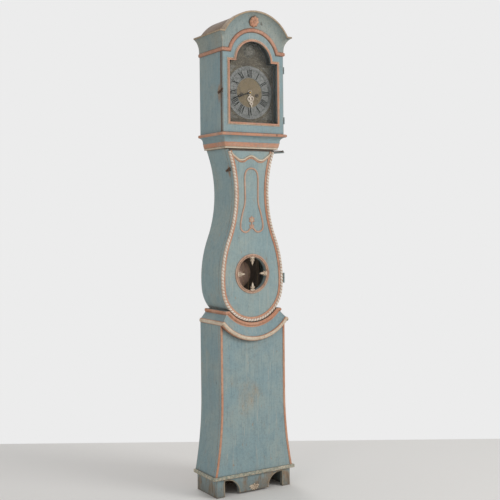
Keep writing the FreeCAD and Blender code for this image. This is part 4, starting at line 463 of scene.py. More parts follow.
def make(name, points, faces, materials, body, slot, face_slots=None, sharp=38):
    """A mesh piece in the clock's frame that rides on a body."""
    mesh = bpy.data.meshes.new(name)
    mesh.from_pydata([V(*point) for point in points], [], faces)
    for material in materials:
        mesh.materials.append(material)
    if face_slots:
        mesh.polygons.foreach_set("material_index", face_slots)
    shell = bmesh.new()
    shell.from_mesh(mesh)
    bmesh.ops.remove_doubles(shell, verts=shell.verts, dist=1e-6)
    bmesh.ops.recalc_face_normals(shell, faces=shell.faces)
    shell.to_mesh(mesh)
    shell.free()
    mesh.shade_smooth()
    mesh.set_sharp_from_angle(angle=math.radians(sharp))
    thing = placed(name, mesh)
    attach(thing, body)
    return thing


def lofted(sections, loop=False):
    """Points and faces of a skin through closed sections, with ends unless it is a loop."""
    count, size = len(sections), len(sections[0])
    points = [point for section in sections for point in section]
    faces = []
    for i in range(count if loop else count - 1):
        j = (i + 1) % count
        for a in range(size):
            b = (a + 1) % size
            faces.append((i * size + a, i * size + b, j * size + b, j * size + a))
    if not loop:
        faces += [tuple(range(size)), tuple(range((count - 1) * size, count * size))]
    return points, faces


def loft(name, sections, materials, body, slot, loop=False, bands=None):
    """A lofted piece. bands gives the material's number of each strip round the section."""
    points, faces = lofted(sections, loop)
    numbers = bands * (len(sections) - 1) + [0, 0] if bands else None
    return make(name, points, faces, materials, body, slot, numbers)


def joined(name, shapes, materials, body, slot, sharp=38):
    """Several skins in one mesh, each as (points, faces)."""
    points, faces = [], []
    for more_points, more_faces in shapes:
        start = len(points)
        points += more_points
        faces += [tuple(start + index for index in face) for face in more_faces]
    return make(name, points, faces, materials, body, slot, sharp=sharp)


def circle(count):
    return np.linspace(0, TAU, count, endpoint=False)


def turned_to(centre, radius, angle, side=0.0):
    """The point at a radius and an angle, moved sideways."""
    turn = math.radians(angle)
    return (centre[0] + radius * math.sin(turn) + side * math.cos(turn),
            centre[1] + radius * math.cos(turn) - side * math.sin(turn))


def arc(centre, radius, first, last, count):
    return [turned_to(centre, radius, angle) for angle in np.linspace(first, last, count)]


def crossing(centre, radius, z):
    """The angle at which a circle's right side crosses a level."""
    return math.degrees(math.asin(math.sqrt(radius ** 2 - (z - centre[1]) ** 2) / radius))


def smooth(points, each=8):
    """A Catmull-Rom curve through 2-D points."""
    p = [np.array(q, float) for q in points]
    p = [2 * p[0] - p[1]] + p + [2 * p[-1] - p[-2]]
    out = []
    for a, b, c, d in zip(p, p[1:], p[2:], p[3:]):
        for t in np.linspace(0, 1, each, endpoint=False):
            out.append(tuple(0.5 * (2 * b + (c - a) * t + (2 * a - 5 * b + 4 * c - d) * t * t
                                    + (3 * b - a - 3 * c + d) * t ** 3)))
    return out + [tuple(p[-2])]


def evenly(points, gap):
    """The same path with evenly spaced points."""
    p = np.array(points, float)
    run = np.concatenate([[0], np.cumsum(np.hypot(*np.diff(p, axis=0).T))])
    at = np.linspace(0, run[-1], max(2, int(run[-1] / gap)))
    return list(zip(np.interp(at, run, p[:, 0]), np.interp(at, run, p[:, 1])))


def sections_along(path, depth, profile, loop=False):
    """Sections of a moulding that lies on the plane at depth.

    profile is a list of (across, rise), or a function of the way along in mm, and of the share.
    """
    p = np.array(path, float)
    step = np.roll(p, -1, 0) - p if loop else np.diff(p, axis=0)
    step /= np.hypot(*step.T)[:, None]
    side = np.stack([step[:, 1], -step[:, 0]], 1)
    before = np.roll(side, 1, 0) if loop else np.vstack([side[:1], side])
    after = side if loop else np.vstack([side, side[-1:]])
    normal = (before + after) / np.maximum(0.35, 1 + (before * after).sum(1))[:, None]
    way = np.concatenate([[0], np.cumsum(np.hypot(*np.diff(p, axis=0).T))])
    out = []
    for q, n, s in zip(p, normal, way):
        shape = profile(s, s / way[-1]) if callable(profile) else profile
        out.append([(q[0] + n[0] * a, depth + b, q[1] + n[1] * a) for a, b in shape])
    return out


def spread(inner, outer, profile):
    """A section between two points of the front view. profile is (share of the way, depth)."""
    return [(inner[0] + (outer[0] - inner[0]) * t, d, inner[1] + (outer[1] - inner[1]) * t)
            for t, d in profile]


def wrapped(middle, corner):
    """The sections of a moulding that runs across the front and back along both sides.

    corner is its section at the right front corner.
    """
    right = [corner, [(x, 0, z) for x, _, z in corner]]
    left = [[(-x, d, z) for x, d, z in section] for section in right[::-1]]
    return left + middle + right


def half_round(width, rise, count=8):
    """A half-round profile with its foot sunk a little into what carries it."""
    sink = 0.6
    top = [(-width / 2 * math.cos(a), rise * math.sin(a) ** 0.8)
           for a in np.linspace(0, math.pi, count)]
    return [(-width / 2, -sink)] + top + [(width / 2, -sink)]


def tapered(width, rise):
    """A half-round that thins out towards both ends of its path."""
    def profile(way, share):
        keep = min(1, min(share, 1 - share) / 0.05 + 0.25)
        return half_round(width * keep, rise * (0.4 + 0.6 * keep), 7)
    return profile


def bend(start, middle, end, count=8):
    """Points after start on the curve through middle to end."""
    start, middle, end = (np.array(q, float) for q in (start, middle, end))
    return [tuple(start * (1 - t) * (1 - 2 * t) + middle * 4 * t * (1 - t) + end * t * (2 * t - 1))
            for t in np.linspace(0, 1, count + 1)[1:]]


def prism(polygon, near, far):
    """A flat plate's skin from a polygon of the front view."""
    count = len(polygon)
    points = [(x, near, z) for x, z in polygon] + [(x, far, z) for x, z in polygon]
    faces = [tuple(range(count)), tuple(range(count, 2 * count))]
    faces += [(i, (i + 1) % count, count + (i + 1) % count, count + i) for i in range(count)]
    return points, faces


def revolved(profile, centre, around):
    """A skin turned about a line that runs front to back. profile is (radius, depth)."""
    return lofted([[(centre[0] + r * math.sin(a), d, centre[1] + r * math.cos(a))
                    for r, d in profile] for a in circle(around)], True)


def both_sides(half):
    """A right half that starts in the middle, as one path from its left end to its right end."""
    return [(-x, z) for x, z in half[:0:-1]] + half


def petal(centre, angle, length, width, depth, rise):
    """A rounded petal that stands on the plane at depth."""
    shape = ((-1, 0), (-0.8, 0.6), (-0.35, 1), (0, 0.82), (0.35, 1), (0.8, 0.6), (1, 0))
    sections = []
    for t in np.linspace(0.02, 0.98, 12):
        half = width / 2 * math.sin(math.pi * t ** 0.75) ** 0.8 + 0.2
        high = rise * math.sin(math.pi * t) ** 0.5
        section = []
        for a, b in shape:
            x, z = turned_to(centre, length * t, angle, a * half)
            section.append((x, depth + b * high - 0.4, z))
        sections.append(section)
    return lofted(sections)


def knob(centre, radius, depth, rise):
    """A low round button."""
    profile = [(0.01, depth - 0.5)] + [(radius * math.cos(a), depth + rise * math.sin(a))
                                       for a in np.linspace(0, math.pi / 2 - 0.02, 6)]
    return revolved(profile, centre, 16)


# -------- the pear's edge

# The waist door's edge is three tangent arcs: the belly, the shoulder above it, and the hollow
# neck, whose centre lies outside. The shoulder's centre follows from the other two.
BELLY, BELLY_R = np.array([0, 913.3]), 157.3
NECK, NECK_R = np.array([614.4, 1319]), 528
SHOULDER_R = 490
APART = float(np.hypot(*(NECK - BELLY)))
ALONG = ((SHOULDER_R - BELLY_R) ** 2 - (SHOULDER_R + NECK_R) ** 2 + APART ** 2) / (2 * APART)
LINE = (NECK - BELLY) / APART
SHOULDER = BELLY + LINE * ALONG + np.array([-LINE[1], LINE[0]]) * math.sqrt(
    (SHOULDER_R - BELLY_R) ** 2 - ALONG ** 2)


def pear(inset, top):
    """The waist door's edge, moved inwards, from its lowest point up its right side."""
    def angle(centre, point):
        return math.degrees(math.atan2(point[0] - centre[0], point[1] - centre[1]))

    def towards(start, end, distance):
        return start + (end - start) / np.hypot(*(end - start)) * distance
    neck_r = NECK_R + inset
    first = towards(BELLY, SHOULDER, inset - BELLY_R)
    second = towards(NECK, SHOULDER, neck_r)
    end = (NECK[0] - math.sqrt(neck_r ** 2 - (top - NECK[1]) ** 2), top)
    up = arc(BELLY, BELLY_R - inset, 180, angle(BELLY, first), 40)
    up += arc(SHOULDER, SHOULDER_R - inset, angle(SHOULDER, first), angle(SHOULDER, second), 40)[1:]
    return up + arc(NECK, neck_r, angle(NECK, second) % 360, angle(NECK, end) % 360, 40)[1:]


# -------- waist door

ROPE_GAP, ROPE_PITCH, ROPE_LEAN = 1.1, 14, 0.62

rope_line = evenly(both_sides(pear(8, 1501)), ROPE_GAP)
bed = [(-13, -0.6), (-13, 1.4), (-11.4, 2.4), (-5, 2.8), (6.8, 3.4), (7.8, 2.2), (7.8, -0.6)]
bed = sections_along(evenly(rope_line, 5), DOOR_FRONT, bed)
rope_bed = loft("rope_bed", bed, [salmon, cream], "waist_door", "salmon_paint",
                bands=[0, 0, 0, 0, 1, 1, 1])
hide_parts("rope_moulding")


def rope_lobe(way, t):
    """1 on the back of a strand and 0 in the groove, at share t across the rope."""
    return abs(math.sin(math.pi * (way / ROPE_PITCH + ROPE_LEAN * t)))


def twist(way, share):
    """One section of the rope: slanted lobes with cut grooves between them."""
    width, rise, shift = 12.6, 5.0, 1.4
    out = [(shift - width / 2, 2.6)]
    for t in np.linspace(0, 1, 11):
        lobe = rope_lobe(way, t)
        size = 0.5 + 0.5 * lobe ** 0.6
        out.append((shift - width / 2 * math.cos(math.pi * t) * (0.84 + 0.16 * lobe),
                    3.0 + rise * math.sin(math.pi * t) ** 0.85 * size))
    return out + [(shift + width / 2, 2.6)]


rope = sections_along(rope_line, DOOR_FRONT - 0.2, twist)
across = len(rope[0])
numbers = []
for index in range((len(rope) - 1) * across):
    way = (index // across) * ROPE_GAP + ROPE_GAP / 2
    numbers.append(int(rope_lobe(way, (index % across - 0.5) / (across - 3)) < 0.36))
make("rope_twist", *lofted(rope), [rope_cream, rope_groove], "waist_door", "cream_paint",
     numbers + [0, 0], 75)

swag = smooth(both_sides([(0, 1482), (12, 1479), (24, 1473), (38.5, 1465), (58, 1464.5),
                          (72, 1472), (84.5, 1480.5), (95.5, 1489.5), (103, 1500.5)]))
upper = sections_along(evenly(swag, 2.5), DOOR_FRONT, tapered(8.5, 4.4))
loft("festoon", upper, [cream], "waist_door", "cream_paint")
lower = evenly([(x * 0.95, z - 8) for x, z in swag], 2.5)
lower = sections_along(lower, DOOR_FRONT, tapered(6.5, 2.2))
loft("festoon_under", lower, [salmon], "waist_door", "salmon_paint")

frame_line = both_sides([
    (0, 1428), (15, 1425), (27, 1414), (33, 1396), (34, 1370), (33, 1330), (33, 1290), (37, 1264),
    (46, 1236), (53, 1208), (57, 1186), (56, 1166), (46, 1154), (32, 1150), (20, 1154), (9, 1165),
    (0, 1172)])
cartouche = sections_along(evenly(smooth(frame_line), 2.5), DOOR_FRONT, half_round(7.6, 3))
loft("cartouche", cartouche, [salmon_pale], "waist_door", "salmon_paint")

TULIP = (0, 1204)
tulip = [petal(TULIP, turn, 17, 13, DOOR_FRONT, 3.6) for turn in range(0, 360, 60)]
tulip += [petal((0, 1162), 0, 34, 11, DOOR_FRONT, 3.4)]
tulip += [petal((0, 1166), turn, 22, 10, DOOR_FRONT, 3) for turn in (-36, 36)]
joined("tulip", tulip, [salmon_pale], "waist_door", "salmon_paint", 60)
make("tulip_heart", *knob(TULIP, 7, DOOR_FRONT, 5.6), [cream], "waist_door", "cream_paint")

# the window's ring and its four fleurs, each drawn inwards from its foot on the ring
ring_profile = [(73, 176), (73, 178.5), (74.5, 181), (77, 181.4), (78.5, 179.6), (80.5, 179.6),
                (82, 181), (85, 180.6), (87, 178.6), (87, 176)]
window_ring = make("window_ring", *revolved(ring_profile, WINDOW, 120), [salmon_pale],
                   "waist_door", "salmon_paint")
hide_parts("window_surround")
# petals as (way from the foot, lean, length, width, rise)
fleur = ((8, 0, 31, 11, 4), (10, -52, 15, 8, 3.4), (10, 52, 15, 8, 3.4), (1, -62, 14, 9, 3.2),
         (1, 62, 14, 9, 3.2), (-3, 0, 16, 12, 3.6))
fleurs = []
for inward in (180, 270, 360, 450):
    foot = turned_to(WINDOW, -75, inward)
    fleurs.append(knob(turned_to(foot, 10, inward), 4.6, 178, 5))
    for way, lean, length, width, rise in fleur:
        at = turned_to(foot, way, inward)
        fleurs.append(petal(at, inward + lean, length, width, 178.5, rise))
joined("window_fleurs", fleurs, [cream], "waist_door", "cream_paint", 60)

# -------- collar

# the collar's section on a side, where x follows the case: (x, z) for each point of the profile
COLLAR_SIDE = [(141, 810)] + bend((141, 810), (144, 802.5), (140, 795))
COLLAR_SIDE += bend((140, 795), (147, 785), (162, 768), 10) + [(166, 768)]
COLLAR_SIDE += bend((166, 768), (170.5, 759), (167, 750)) + [(150, 750), (125, 810)]


def collar_profile(width):
    """The collar from its inner edge outwards, as (share of its width, depth)."""
    top, low = 15 / width, 1 - 18 / width
    out = [(0, 184)] + bend((0, 184), (top / 2, 190), (top, 185))
    out += bend((top, 185), ((top + low) / 2 + 0.04, 189), (low, 198), 10) + [(low, 202)]
    return out + bend((low, 202), ((1 + low) / 2, 206), (1, 200)) + [(1, 166), (0, 166)]


# only the profile's depths count at the corner, and they are the same at any width
corner = [(x, d, z) for (x, z), (_, d) in zip(COLLAR_SIDE, collar_profile(66))]
crescent = []
for share in np.linspace(-1, 1, 61):
    inner = turned_to(BELLY, 159.5, 180 - share * 49.5)
    outer = turned_to((0, 892), 217, 180 - share * 50.6)
    crescent.append(spread(inner, outer, collar_profile(math.dist(inner, outer))))
# salmon bead at the inner edge, teal hollow, then cream between two salmon lines
bands = [1] * 9 + [0] * 9 + [1] * 2 + [2] * 6 + [1] * 2 + [0] * 2
collar = loft("collar_moulding", wrapped(crescent, corner), [teal, salmon, cream], "case",
              "teal_paint", bands=bands)
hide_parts("collar_front", "collar_sides")

# -------- hood

CROWN_FOOT, CROWN_TOP = 1938.5, 2005
CROWN_PROFILE = [(0, 196), (0, 206)] + bend((0, 206), (0.54, 212), (0.9, 232.4), 12)
CROWN_PROFILE += [(0.9, 235), (1, 235), (1, 196)]
COVE_INNER, COVE_OUTER = (ARCH, 133.6), (CROWN, 183)
# at the corner the cove leans out sideways too, by 27 mm over its 29 mm of depth
corner = []
for t, d in CROWN_PROFILE:
    x = 155.5 + max(0, d - 206) * 27 / 29 if d > 200 else 150
    corner.append((x, d, CROWN_FOOT + (CROWN_TOP - CROWN_FOOT) * t))
cove = []
for share in np.linspace(-1, 1, 65):
    inner = turned_to(*COVE_INNER, crossing(*COVE_INNER, CROWN_FOOT) * share)
    outer = turned_to(*COVE_OUTER, crossing(*COVE_OUTER, CROWN_TOP) * share)
    cove.append(spread(inner, outer, CROWN_PROFILE))
crown = loft("crown_cove", wrapped(cove, corner), [teal_crown, crown_edge], "hood", "teal_paint",
             bands=[0] * 13 + [1] * 3 + [0])
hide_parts("hood_crown", "cornice_sides")

opening = [p for p in arc(ARCH, 117.5, -77, 77, 41) if p[1] >= 1922]
backing = [(-153, 1922)] + opening + [(153, 1922), (153, 2003)]
backing += arc(CROWN, 177, 60.5, -60.5, 41) + [(-153, 2003)]
make("crown_backing", *prism(backing, 188, 197), [pine_dark], "hood", "raw_pine")

# the bead goes over the arch, and on its path the normal points down
BEAD_X, BEAD_Z, BEAD_R = 153.5, 1930, 125
bead_profile = [(-8 * math.cos(a), 6.5 * math.sin(a) ** 0.7)
                for a in np.linspace(0.05, math.pi - 0.05, 9)]
bead_profile = [(-8, -0.5)] + bead_profile + [(8, -0.5)]
bead_turn = crossing(ARCH, BEAD_R, BEAD_Z)
bead_path = [(-BEAD_X, BEAD_Z), (-135, BEAD_Z)] + arc(ARCH, BEAD_R, -bead_turn, bead_turn, 61)
bead_path += [(135, BEAD_Z), (BEAD_X, BEAD_Z)]
corner = [(BEAD_X + max(0, b), HOOD_FRONT + b, BEAD_Z - a) for a, b in bead_profile]
front = sections_along(bead_path, HOOD_FRONT, bead_profile)[1:-1]
# the bead's darker salmon is dirt and painted shade
bead = loft("arch_bead", wrapped(front, corner), [salmon_dirt_and_shade], "hood", "salmon_paint")
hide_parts("hood_bead")

# the rosette leans forward with the cove behind it
rosette = [petal(ROSETTE, turn, 24, 19, 224, 4.2) for turn in range(0, 360, 45)]
rosette += [knob(ROSETTE, 22.5, 222.5, 3.4), knob(ROSETTE, 6.5, 225, 4.8)]
rosette = [([(x, d + (z - ROSETTE[1]) * 0.36 - 9.4, z) for x, d, z in points], faces)
           for points, faces in rosette]
joined("rosette", rosette, [salmon], "hood", "salmon_paint", 60)

# a pale line round the door's opening
opening = [(-121, 1624), (-121, 1885)] + arc((0, 1885), 88, -90, 90, 41)
opening += [(121, 1885), (121, 1624)]
line_profile = [(a - 9.6, b) for a, b in ((-1.8, -0.5), (-1.8, 1.4), (-0.9, 2.0), (0.9, 2.0),
                                          (1.8, 1.4), (1.8, -0.5))]
line = sections_along(opening, HOOD_FRONT, line_profile, True)
loft("sight_line", line, [cream], "hood_door", "cream_paint", loop=True)

# -------- base and plinth


def base_edge(z):
    """Half the base's width, which flares below z = 430."""
    return 165.5 + (1700 - math.sqrt(1700 ** 2 - (430 - z) ** 2) if z < 430 else 0)


SIDES = (("right", 1), ("left", -1))
heights = list(np.linspace(94, 428, 22)) + [500, 600, 700, 752]
bead_profile = [(-5.4, -0.6), (-5.4, 0.7), (-4, 1.6), (0, 2.1), (4, 1.6), (5.1, 0.7), (5.1, -0.6)]
arch_path = [(150, 2), (150, 71), (137, 71)] + arc((137, 9), 62, 0, -90, 17)[1:] + [(75, 8)]
line_profile = [(-2.2, -0.5), (-2, 0.7), (0, 1.5), (2, 0.7), (2.2, -0.5)]
for side, sign in SIDES:
    path = [(sign * (base_edge(z) - 5.2), z) for z in heights]
    bead = sections_along(path, BASE_FRONT, bead_profile)
    loft("corner_bead_" + side, bead, [salmon], "case", "salmon_paint")
for side, sign in SIDES:
    path = [(sign * x, z) for x, z in arch_path]
    shape = [(sign * 1.9 + a, b) for a, b in line_profile]
    line = sections_along(path, PLINTH_FRONT, shape)
    loft("arch_line_" + side, line, [cream_worn], "case", "cream_paint")

shell = [petal((27 * math.sin(turn), 31 - 26 * math.cos(turn)), -math.degrees(turn), 27, 9.5,
               PLINTH_FRONT, 4.4) for turn in np.linspace(-1.35, 1.35, 7)]
shell += [knob((0, 33), 4.5, PLINTH_FRONT, 4.6)]
joined("shell", shell, [cream], "case", "cream_paint", 60)

# a plank that closes the plinth at the back
plank = [(-176, 79.5), (176, 79.5), (176, 2), (60, 2.6), (-20, 1.6), (-90, 2.8), (-176, 2)]
make("plinth_plank", *prism(plank, 1, 15), [pine_along], "case", "raw_pine")

# -------- dial

NUMERAL_FOOT, NUMERAL_TALL = 67.5, 30


def stroke(start, end, width, angle, foot):
    """A bar of a numeral, in the numeral's own frame: side and height above the foot's radius."""
    (u0, v0), (u1, v1) = start, end
    way = np.array([u1 - u0, v1 - v0])
    way = way / np.hypot(*way)
    side = np.array([-way[1], way[0]]) * width / 2
    corners = (start + side, end + side, end - side, start - side)
    return prism([turned_to(DIAL, foot + v, angle, u) for u, v in corners],
                 RING_FRONT - 0.1, RING_FRONT + 0.25)


# a letter's width, its strokes as (foot, head, width), its serifs at the head and at the foot
GLYPHS = {"I": (6.8, ((0, 0, 4.2),), ((-3.2, 3.2),), ((-3.2, 3.2),)),
          "V": (13.4, ((0, -4.6, 4.6), (0, 4.6, 2.0)), ((-7.4, -2), (2.4, 7)), ((-1.6, 1.6),)),
          "X": (13.4, ((-4.6, 4.6, 2.0), (4.6, -4.6, 4.6)), ((-7.4, -2), (2, 7.4)),
                ((-7.4, -2), (2, 7.4)))}
marks = []
for hour, text in enumerate("XII I II III IIII V VI VII VIII IX X XI".split()):
    at = -sum(GLYPHS[letter][0] for letter in text) / 2
    for letter in text:
        wide, strokes, heads, feet = GLYPHS[letter]
        at += wide / 2
        bars = [(foot, 0, head, NUMERAL_TALL, width) for foot, head, width in strokes]
        bars += [(u0, NUMERAL_TALL, u1, NUMERAL_TALL, 1.0) for u0, u1 in heads]
        bars += [(u0, 0, u1, 0, 1.0) for u0, u1 in feet]
        for u0, v0, u1, v1, width in bars:
            marks.append(stroke((at + u0, v0), (at + u1, v1), width, hour * 30, NUMERAL_FOOT))
        at += wide / 2
for minute in range(60):
    marks.append(stroke((0, 0), (0, 4), 1.8 if minute % 5 == 0 else 0.7, minute * 6, 98.5))
for radius in (66.3, 98.4, 102.6):
    line = [(radius, RING_FRONT - 0.1), (radius, RING_FRONT + 0.22),
            (radius + 0.6, RING_FRONT + 0.22), (radius + 0.6, RING_FRONT - 0.1)]
    marks.append(revolved(line, DIAL, 120))
for between in range(15, 360, 30):
    for turn in (0, 90, 180, 270):
        leaf = [turned_to(turned_to(DIAL, 83, between), r, turn + between + a)
                for r, a in ((0.6, -45), (3.6, 0), (0.6, 45), (0.2, 180))]
        marks.append(prism(leaf, RING_FRONT - 0.1, RING_FRONT + 0.2))
joined("dial_numerals", marks, [ink], "case", "ring_paint")


def flat_skin(curve, radius, angle, depth):
    """A flat curve or text, laid on the dial with its origin at a radius and an angle."""
    flat = placed("flat", curve)
    bpy.context.view_layer.update()
    mesh = bpy.data.meshes.new_from_object(flat)
    points = []
    for vertex in mesh.vertices:
        x, z = turned_to(DIAL, radius + vertex.co.y, angle, vertex.co.x)
        points.append((x, depth + vertex.co.z, z))
    bpy.data.objects.remove(flat)
    return points, [tuple(face.vertices) for face in mesh.polygons]


digits = []
for minute in range(5, 61, 5):
    curve = bpy.data.curves.new("digits", "FONT")
    curve.body = str(minute)
    curve.size, curve.extrude, curve.align_x, curve.align_y = 6.4, 0.12, "CENTER", "CENTER"
    digits.append(flat_skin(curve, 108, minute * 6, RING_FRONT + 0.08))
joined("minute_digits", digits, [ink], "case", "ring_paint")

hole_ring = [(5.4, 167.9), (5.4, 169), (6.2, 169.6), (7.6, 169.3), (8.4, 168.4), (8.4, 167.9)]
rings = [revolved(hole_ring, (x, DRUM_Z), 40) for x in (-DRUM_X, DRUM_X)]
joined("winding_rings", rings, [iron], "case", "ring_paint")

# -------- hands


def pierced(name, outline, holes, turn, depth, material, body, node):
    """A flat hand with oval holes, filed round at its edges."""
    curve = bpy.data.curves.new(name, "CURVE")
    curve.dimensions, curve.fill_mode = "2D", "BOTH"
    curve.extrude, curve.bevel_depth, curve.bevel_resolution = 0.33, 0.22, 1
    for points in [outline] + [hole(*one) for one in holes]:
        line = curve.splines.new("POLY")
        line.points.add(len(points) - 1)
        for target, (x, z) in zip(line.points, points):
            target.co = (x, z, 0, 1)
        line.use_cyclic_u = True
    thing = make(name, *flat_skin(curve, 0, turn, depth), [material], body, "hand_steel")
    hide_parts(node)


def hand(hub_radius, last, count, points):
    """A hand's outline from its hub and the points up its right side."""
    hub = [(hub_radius * math.sin(a), hub_radius * math.cos(a))
           for a in np.linspace(math.pi, last, count)]
    half = smooth(hub + points, 4)
    return half + [(-x, z) for x, z in half[::-1] if abs(x) > 1e-6]


def hole(x, z, radius, tall=1.0):
    return [(x + radius * math.sin(a), z + radius * tall * math.cos(a)) for a in circle(19)]


short = hand(9, 0.35, 14, [(3.2, 12), (8.5, 16), (16, 23), (16.5, 31), (11, 38), (5, 41),
                           (9.6, 45), (9, 50), (3, 55), (1.8, 61), (0, 70)])
short_holes = ((0, 0, 5.7), (7.6, 26, 4.2, 1.5), (-7.6, 26, 4.2, 1.5), (0, 36, 2.6, 1.2),
               (0, 17.5, 2), (0, 47.5, 3.2, 1.1))
long = hand(6.5, 0.4, 12, [(2.3, 10), (1.7, 30), (1.6, 46), (3.8, 50), (5.6, 56), (3.6, 62),
                           (1.5, 66), (1.2, 84), (0, 103)])
long_holes = ((0, 0, 3.1), (0, 56, 2.4, 1.3))
pierced("hour_hand_filed", short, short_holes, 171, 171.65, silver, "hour", "hour_hand")
pierced("minute_hand_filed", long, long_holes, 252, 174.45, ink, "minute", "minute_hand")

# -------- bob, lines and bell

BOB, BOB_DEPTH, BOB_R = (0, 962), 62, 62
face = [(BOB_R * math.sin(a), 12.6 * math.cos(a) ** 0.9) for a in np.linspace(0.06, 1.5, 14)]
lens = [(r, BOB_DEPTH - rise) for r, rise in face] + [(BOB_R, BOB_DEPTH - 1)]
lens += [(BOB_R, BOB_DEPTH + 1)] + [(r, BOB_DEPTH + rise) for r, rise in face[::-1]]
bob = make("bob_lens", *revolved(lens, BOB, 72), [copper], "pendulum", "plate_brass")
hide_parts("pendulum_bob")


def tube(points, around=8):
    """A gut line's round skin along points in space."""
    radius = 0.8
    p = np.array(points, float)
    along = np.gradient(p, axis=0)
    along /= np.linalg.norm(along, axis=1)[:, None]
    sections = []
    for q, t in zip(p, along):
        first = np.cross(t, (0, 1, 0) if abs(t[1]) < 0.9 else (1, 0, 0))
        first /= np.linalg.norm(first)
        second = np.cross(t, first)
        sections.append([tuple(q + radius * (math.cos(a) * first + math.sin(a) * second))
                         for a in circle(around)])
    return lofted(sections)


PULLEY_R, DRUM_R, DRUM_BACK, DRUM_LONG, TURNS = 24.5, 25.9, 108, 28, 14
for body, sign in (("going", 1), ("strike", -1)):
    loop = [(sign * WEIGHT_X + PULLEY_R * math.cos(a), LINE_DEPTH,
             PULLEY_Z - PULLEY_R * math.sin(a)) for a in np.linspace(0, math.pi, 25)]
    joined("loop_" + body, [tube(loop)], [gut], "weight_" + body, "gut")

    # both strands of the line run straight from the pulley up to the seatboard
    runs = [tube([(sign * x, LINE_DEPTH, z) for z in range(PULLEY_Z, SEAT_Z + 1, 118)])
            for x in (WEIGHT_X - PULLEY_R, WEIGHT_X + PULLEY_R)]
    strands = joined("strands_" + body, runs, [gut], "case", "gut")
    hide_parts("line_" + body)
    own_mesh(strands)

    leader = [(sign * (WEIGHT_X - PULLEY_R), LINE_DEPTH, z) for z in (SEAT_Z, 1680, 1720, 1746)]
    joined("lead_" + body, [tube(leader)], [gut], "case", "gut")
    wound = [(sign * DRUM_X + DRUM_R * math.sin(a), DRUM_BACK + DRUM_LONG * a / (TURNS * TAU),
              DRUM_Z + DRUM_R * math.cos(a)) for a in np.linspace(0, TURNS * TAU, TURNS * 24)]
    joined("wound_" + body, [tube(wound, 6)], [gut], body + "_barrel", "gut")

BELL_DEPTH, BELL_Z = 105, 1893
bell_profile = [(37.6, 0.4), (36.6, 1.6), (34.5, 6), (31.5, 12), (27.5, 17), (21, 20.8),
                (12, 23), (3, 23.8), (3, 21.4), (12, 20.4), (20, 18.4), (26, 14.8), (29.5, 10.5),
                (32.4, 5), (34.6, 0.6)]
skirt = [[(r * math.sin(a), BELL_DEPTH + r * math.cos(a), BELL_Z + up) for r, up in bell_profile]
         for a in circle(56)]
post = [[(2.5 * math.sin(a), BELL_DEPTH + 2.5 * math.cos(a), z) for a in circle(16)]
        for z in (1871, 1921.8)]
foot = prism([(-7, 1866), (7, 1866), (7, 1872), (-7, 1872)], 93, 109)
bell = joined("bell_cast", [lofted(skirt, True), foot, lofted(post)], [brass], "case",
              "plate_brass")
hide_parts("bell")

# -------- CAD nodes' materials

FINISH = {
    teal_door: "waist_door", teal_base: "base_front",
    teal_waist: "waist_side_right waist_side_left", teal_hood: "hood_sides",
    teal_low: "plinth_front plinth_sides base_sides",
    teal_throat: "throat_moulding", teal_frame: "hood_door_frame", chalky: "plinth_moulding",
    pine: "backboard base_bottom", pine_dark: "case_rails seatboard hood_runners",
    pine_along: "hood_roof",
    door_iron: "waist_door_ironwork", rust: "waist_latch hood_latch",
    ironwork: "case_ironwork hood_ironwork hood_door_ironwork",
    dial_dark: "dial_plate", pewter: "chapter_ring", boss: "dial_ornaments",
    brass_drum: "going_barrel strike_barrel",
    brass: "front_plate back_plate going_great_wheel strike_great_wheel"
           " centre_wheel third_wheel escape_wheel minute_wheel hour_wheel pin_wheel"
           " suspension_cock pulley_going pulley_strike",
    steel: "anchor hammer pendulum_rod", lead: "weight_going weight_strike",
    glass: "hood_door_glass",
}
for material, names in FINISH.items():
    for name in names.split():
        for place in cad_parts[name].material_slots:
            place.link = "OBJECT"
            place.material = material

# -------- floor, light, camera

YAW, PITCH, ROLL = math.radians(-31.7), math.radians(2.1), math.radians(-0.6)
CAMERA_AT, LENS, SENSOR = (-2.0674, -3.390, 1.215), 64.3968, 36

net = Net("floor_pale")
net.bump(net.noise(3, 3), 0.02, 0.001)
pale = net.finish(srgb(228, 226, 222), 0.9)
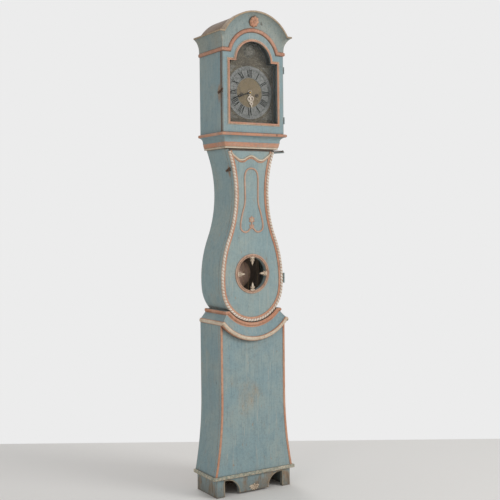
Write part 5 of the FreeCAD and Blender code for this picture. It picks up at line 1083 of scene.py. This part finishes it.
# the floor ends behind the clock, where the wall begins
away = Vector((-math.sin(YAW), math.cos(YAW), 0))
right = Vector((math.cos(YAW), math.sin(YAW), 0))
mesh = bpy.data.meshes.new("floor")
corners = ((0.84, -7), (0.84, 7), (-7, 7), (-7, -7))
mesh.from_pydata([away * a + right * b for a, b in corners], [], [(0, 1, 2, 3)])
mesh.materials.append(pale)
placed("floor", mesh)

# the world is soft light for the clock, and a brighter wall where it is seen or mirrored
scene = bpy.context.scene
scene.world = bpy.data.worlds.new("studio")
scene.world.use_nodes = True
tree = scene.world.node_tree
tree.nodes.clear()
rays = new_node(tree, "LightPath").outputs


def world_node(kind, *inputs, **settings):
    """The first output of a node whose inputs are given in order."""
    return new_node(tree, kind, dict(enumerate(inputs)), **settings).outputs[0]


mirrored = world_node("Math", rays["Is Transmission Ray"], rays["Is Glossy Ray"],
                      operation="MAXIMUM")
seen = world_node("Math", rays["Is Camera Ray"], mirrored, operation="MAXIMUM")
both = world_node("MixShader", seen,
                  world_node("Background", srgb(250, 250, 252), 0.5),
                  world_node("Background", srgb(236, 236, 236), 1.0))
new_node(tree, "OutputWorld", {0: both})


def lamp(name, place, target, size, power):
    light = bpy.data.lights.new(name, "AREA")
    light.shape, light.size, light.energy = "DISK", size, power
    thing = placed(name, light)
    thing.location = place
    thing.rotation_euler = (Vector(target) - Vector(place)).to_track_quat("-Z", "Y").to_euler()


lamp("key", (2.4, -3.8, 2.7), (0, 0, 1.1), 2.2, 100)
lamp("fill", (-3.6, -2.0, 2.2), (0, 0, 1.0), 2.4, 18)
lamp("back", (0.8, 3.6, 3.2), (0, 0, 1.2), 2.4, 50)

forward = Vector((-math.sin(YAW) * math.cos(PITCH), math.cos(YAW) * math.cos(PITCH),
                  -math.sin(PITCH)))
upward = right.cross(forward)
side = math.cos(ROLL) * right + math.sin(ROLL) * upward
over = -math.sin(ROLL) * right + math.cos(ROLL) * upward
camera = placed("camera", bpy.data.cameras.new("camera"))
turned = Matrix((side, over, -forward)).transposed()
camera.matrix_world = Matrix.Translation(CAMERA_AT) @ turned.to_4x4()
camera.data.sensor_width = SENSOR
camera.data.lens = LENS
scene.camera = camera
scene.view_settings.view_transform = "Standard"
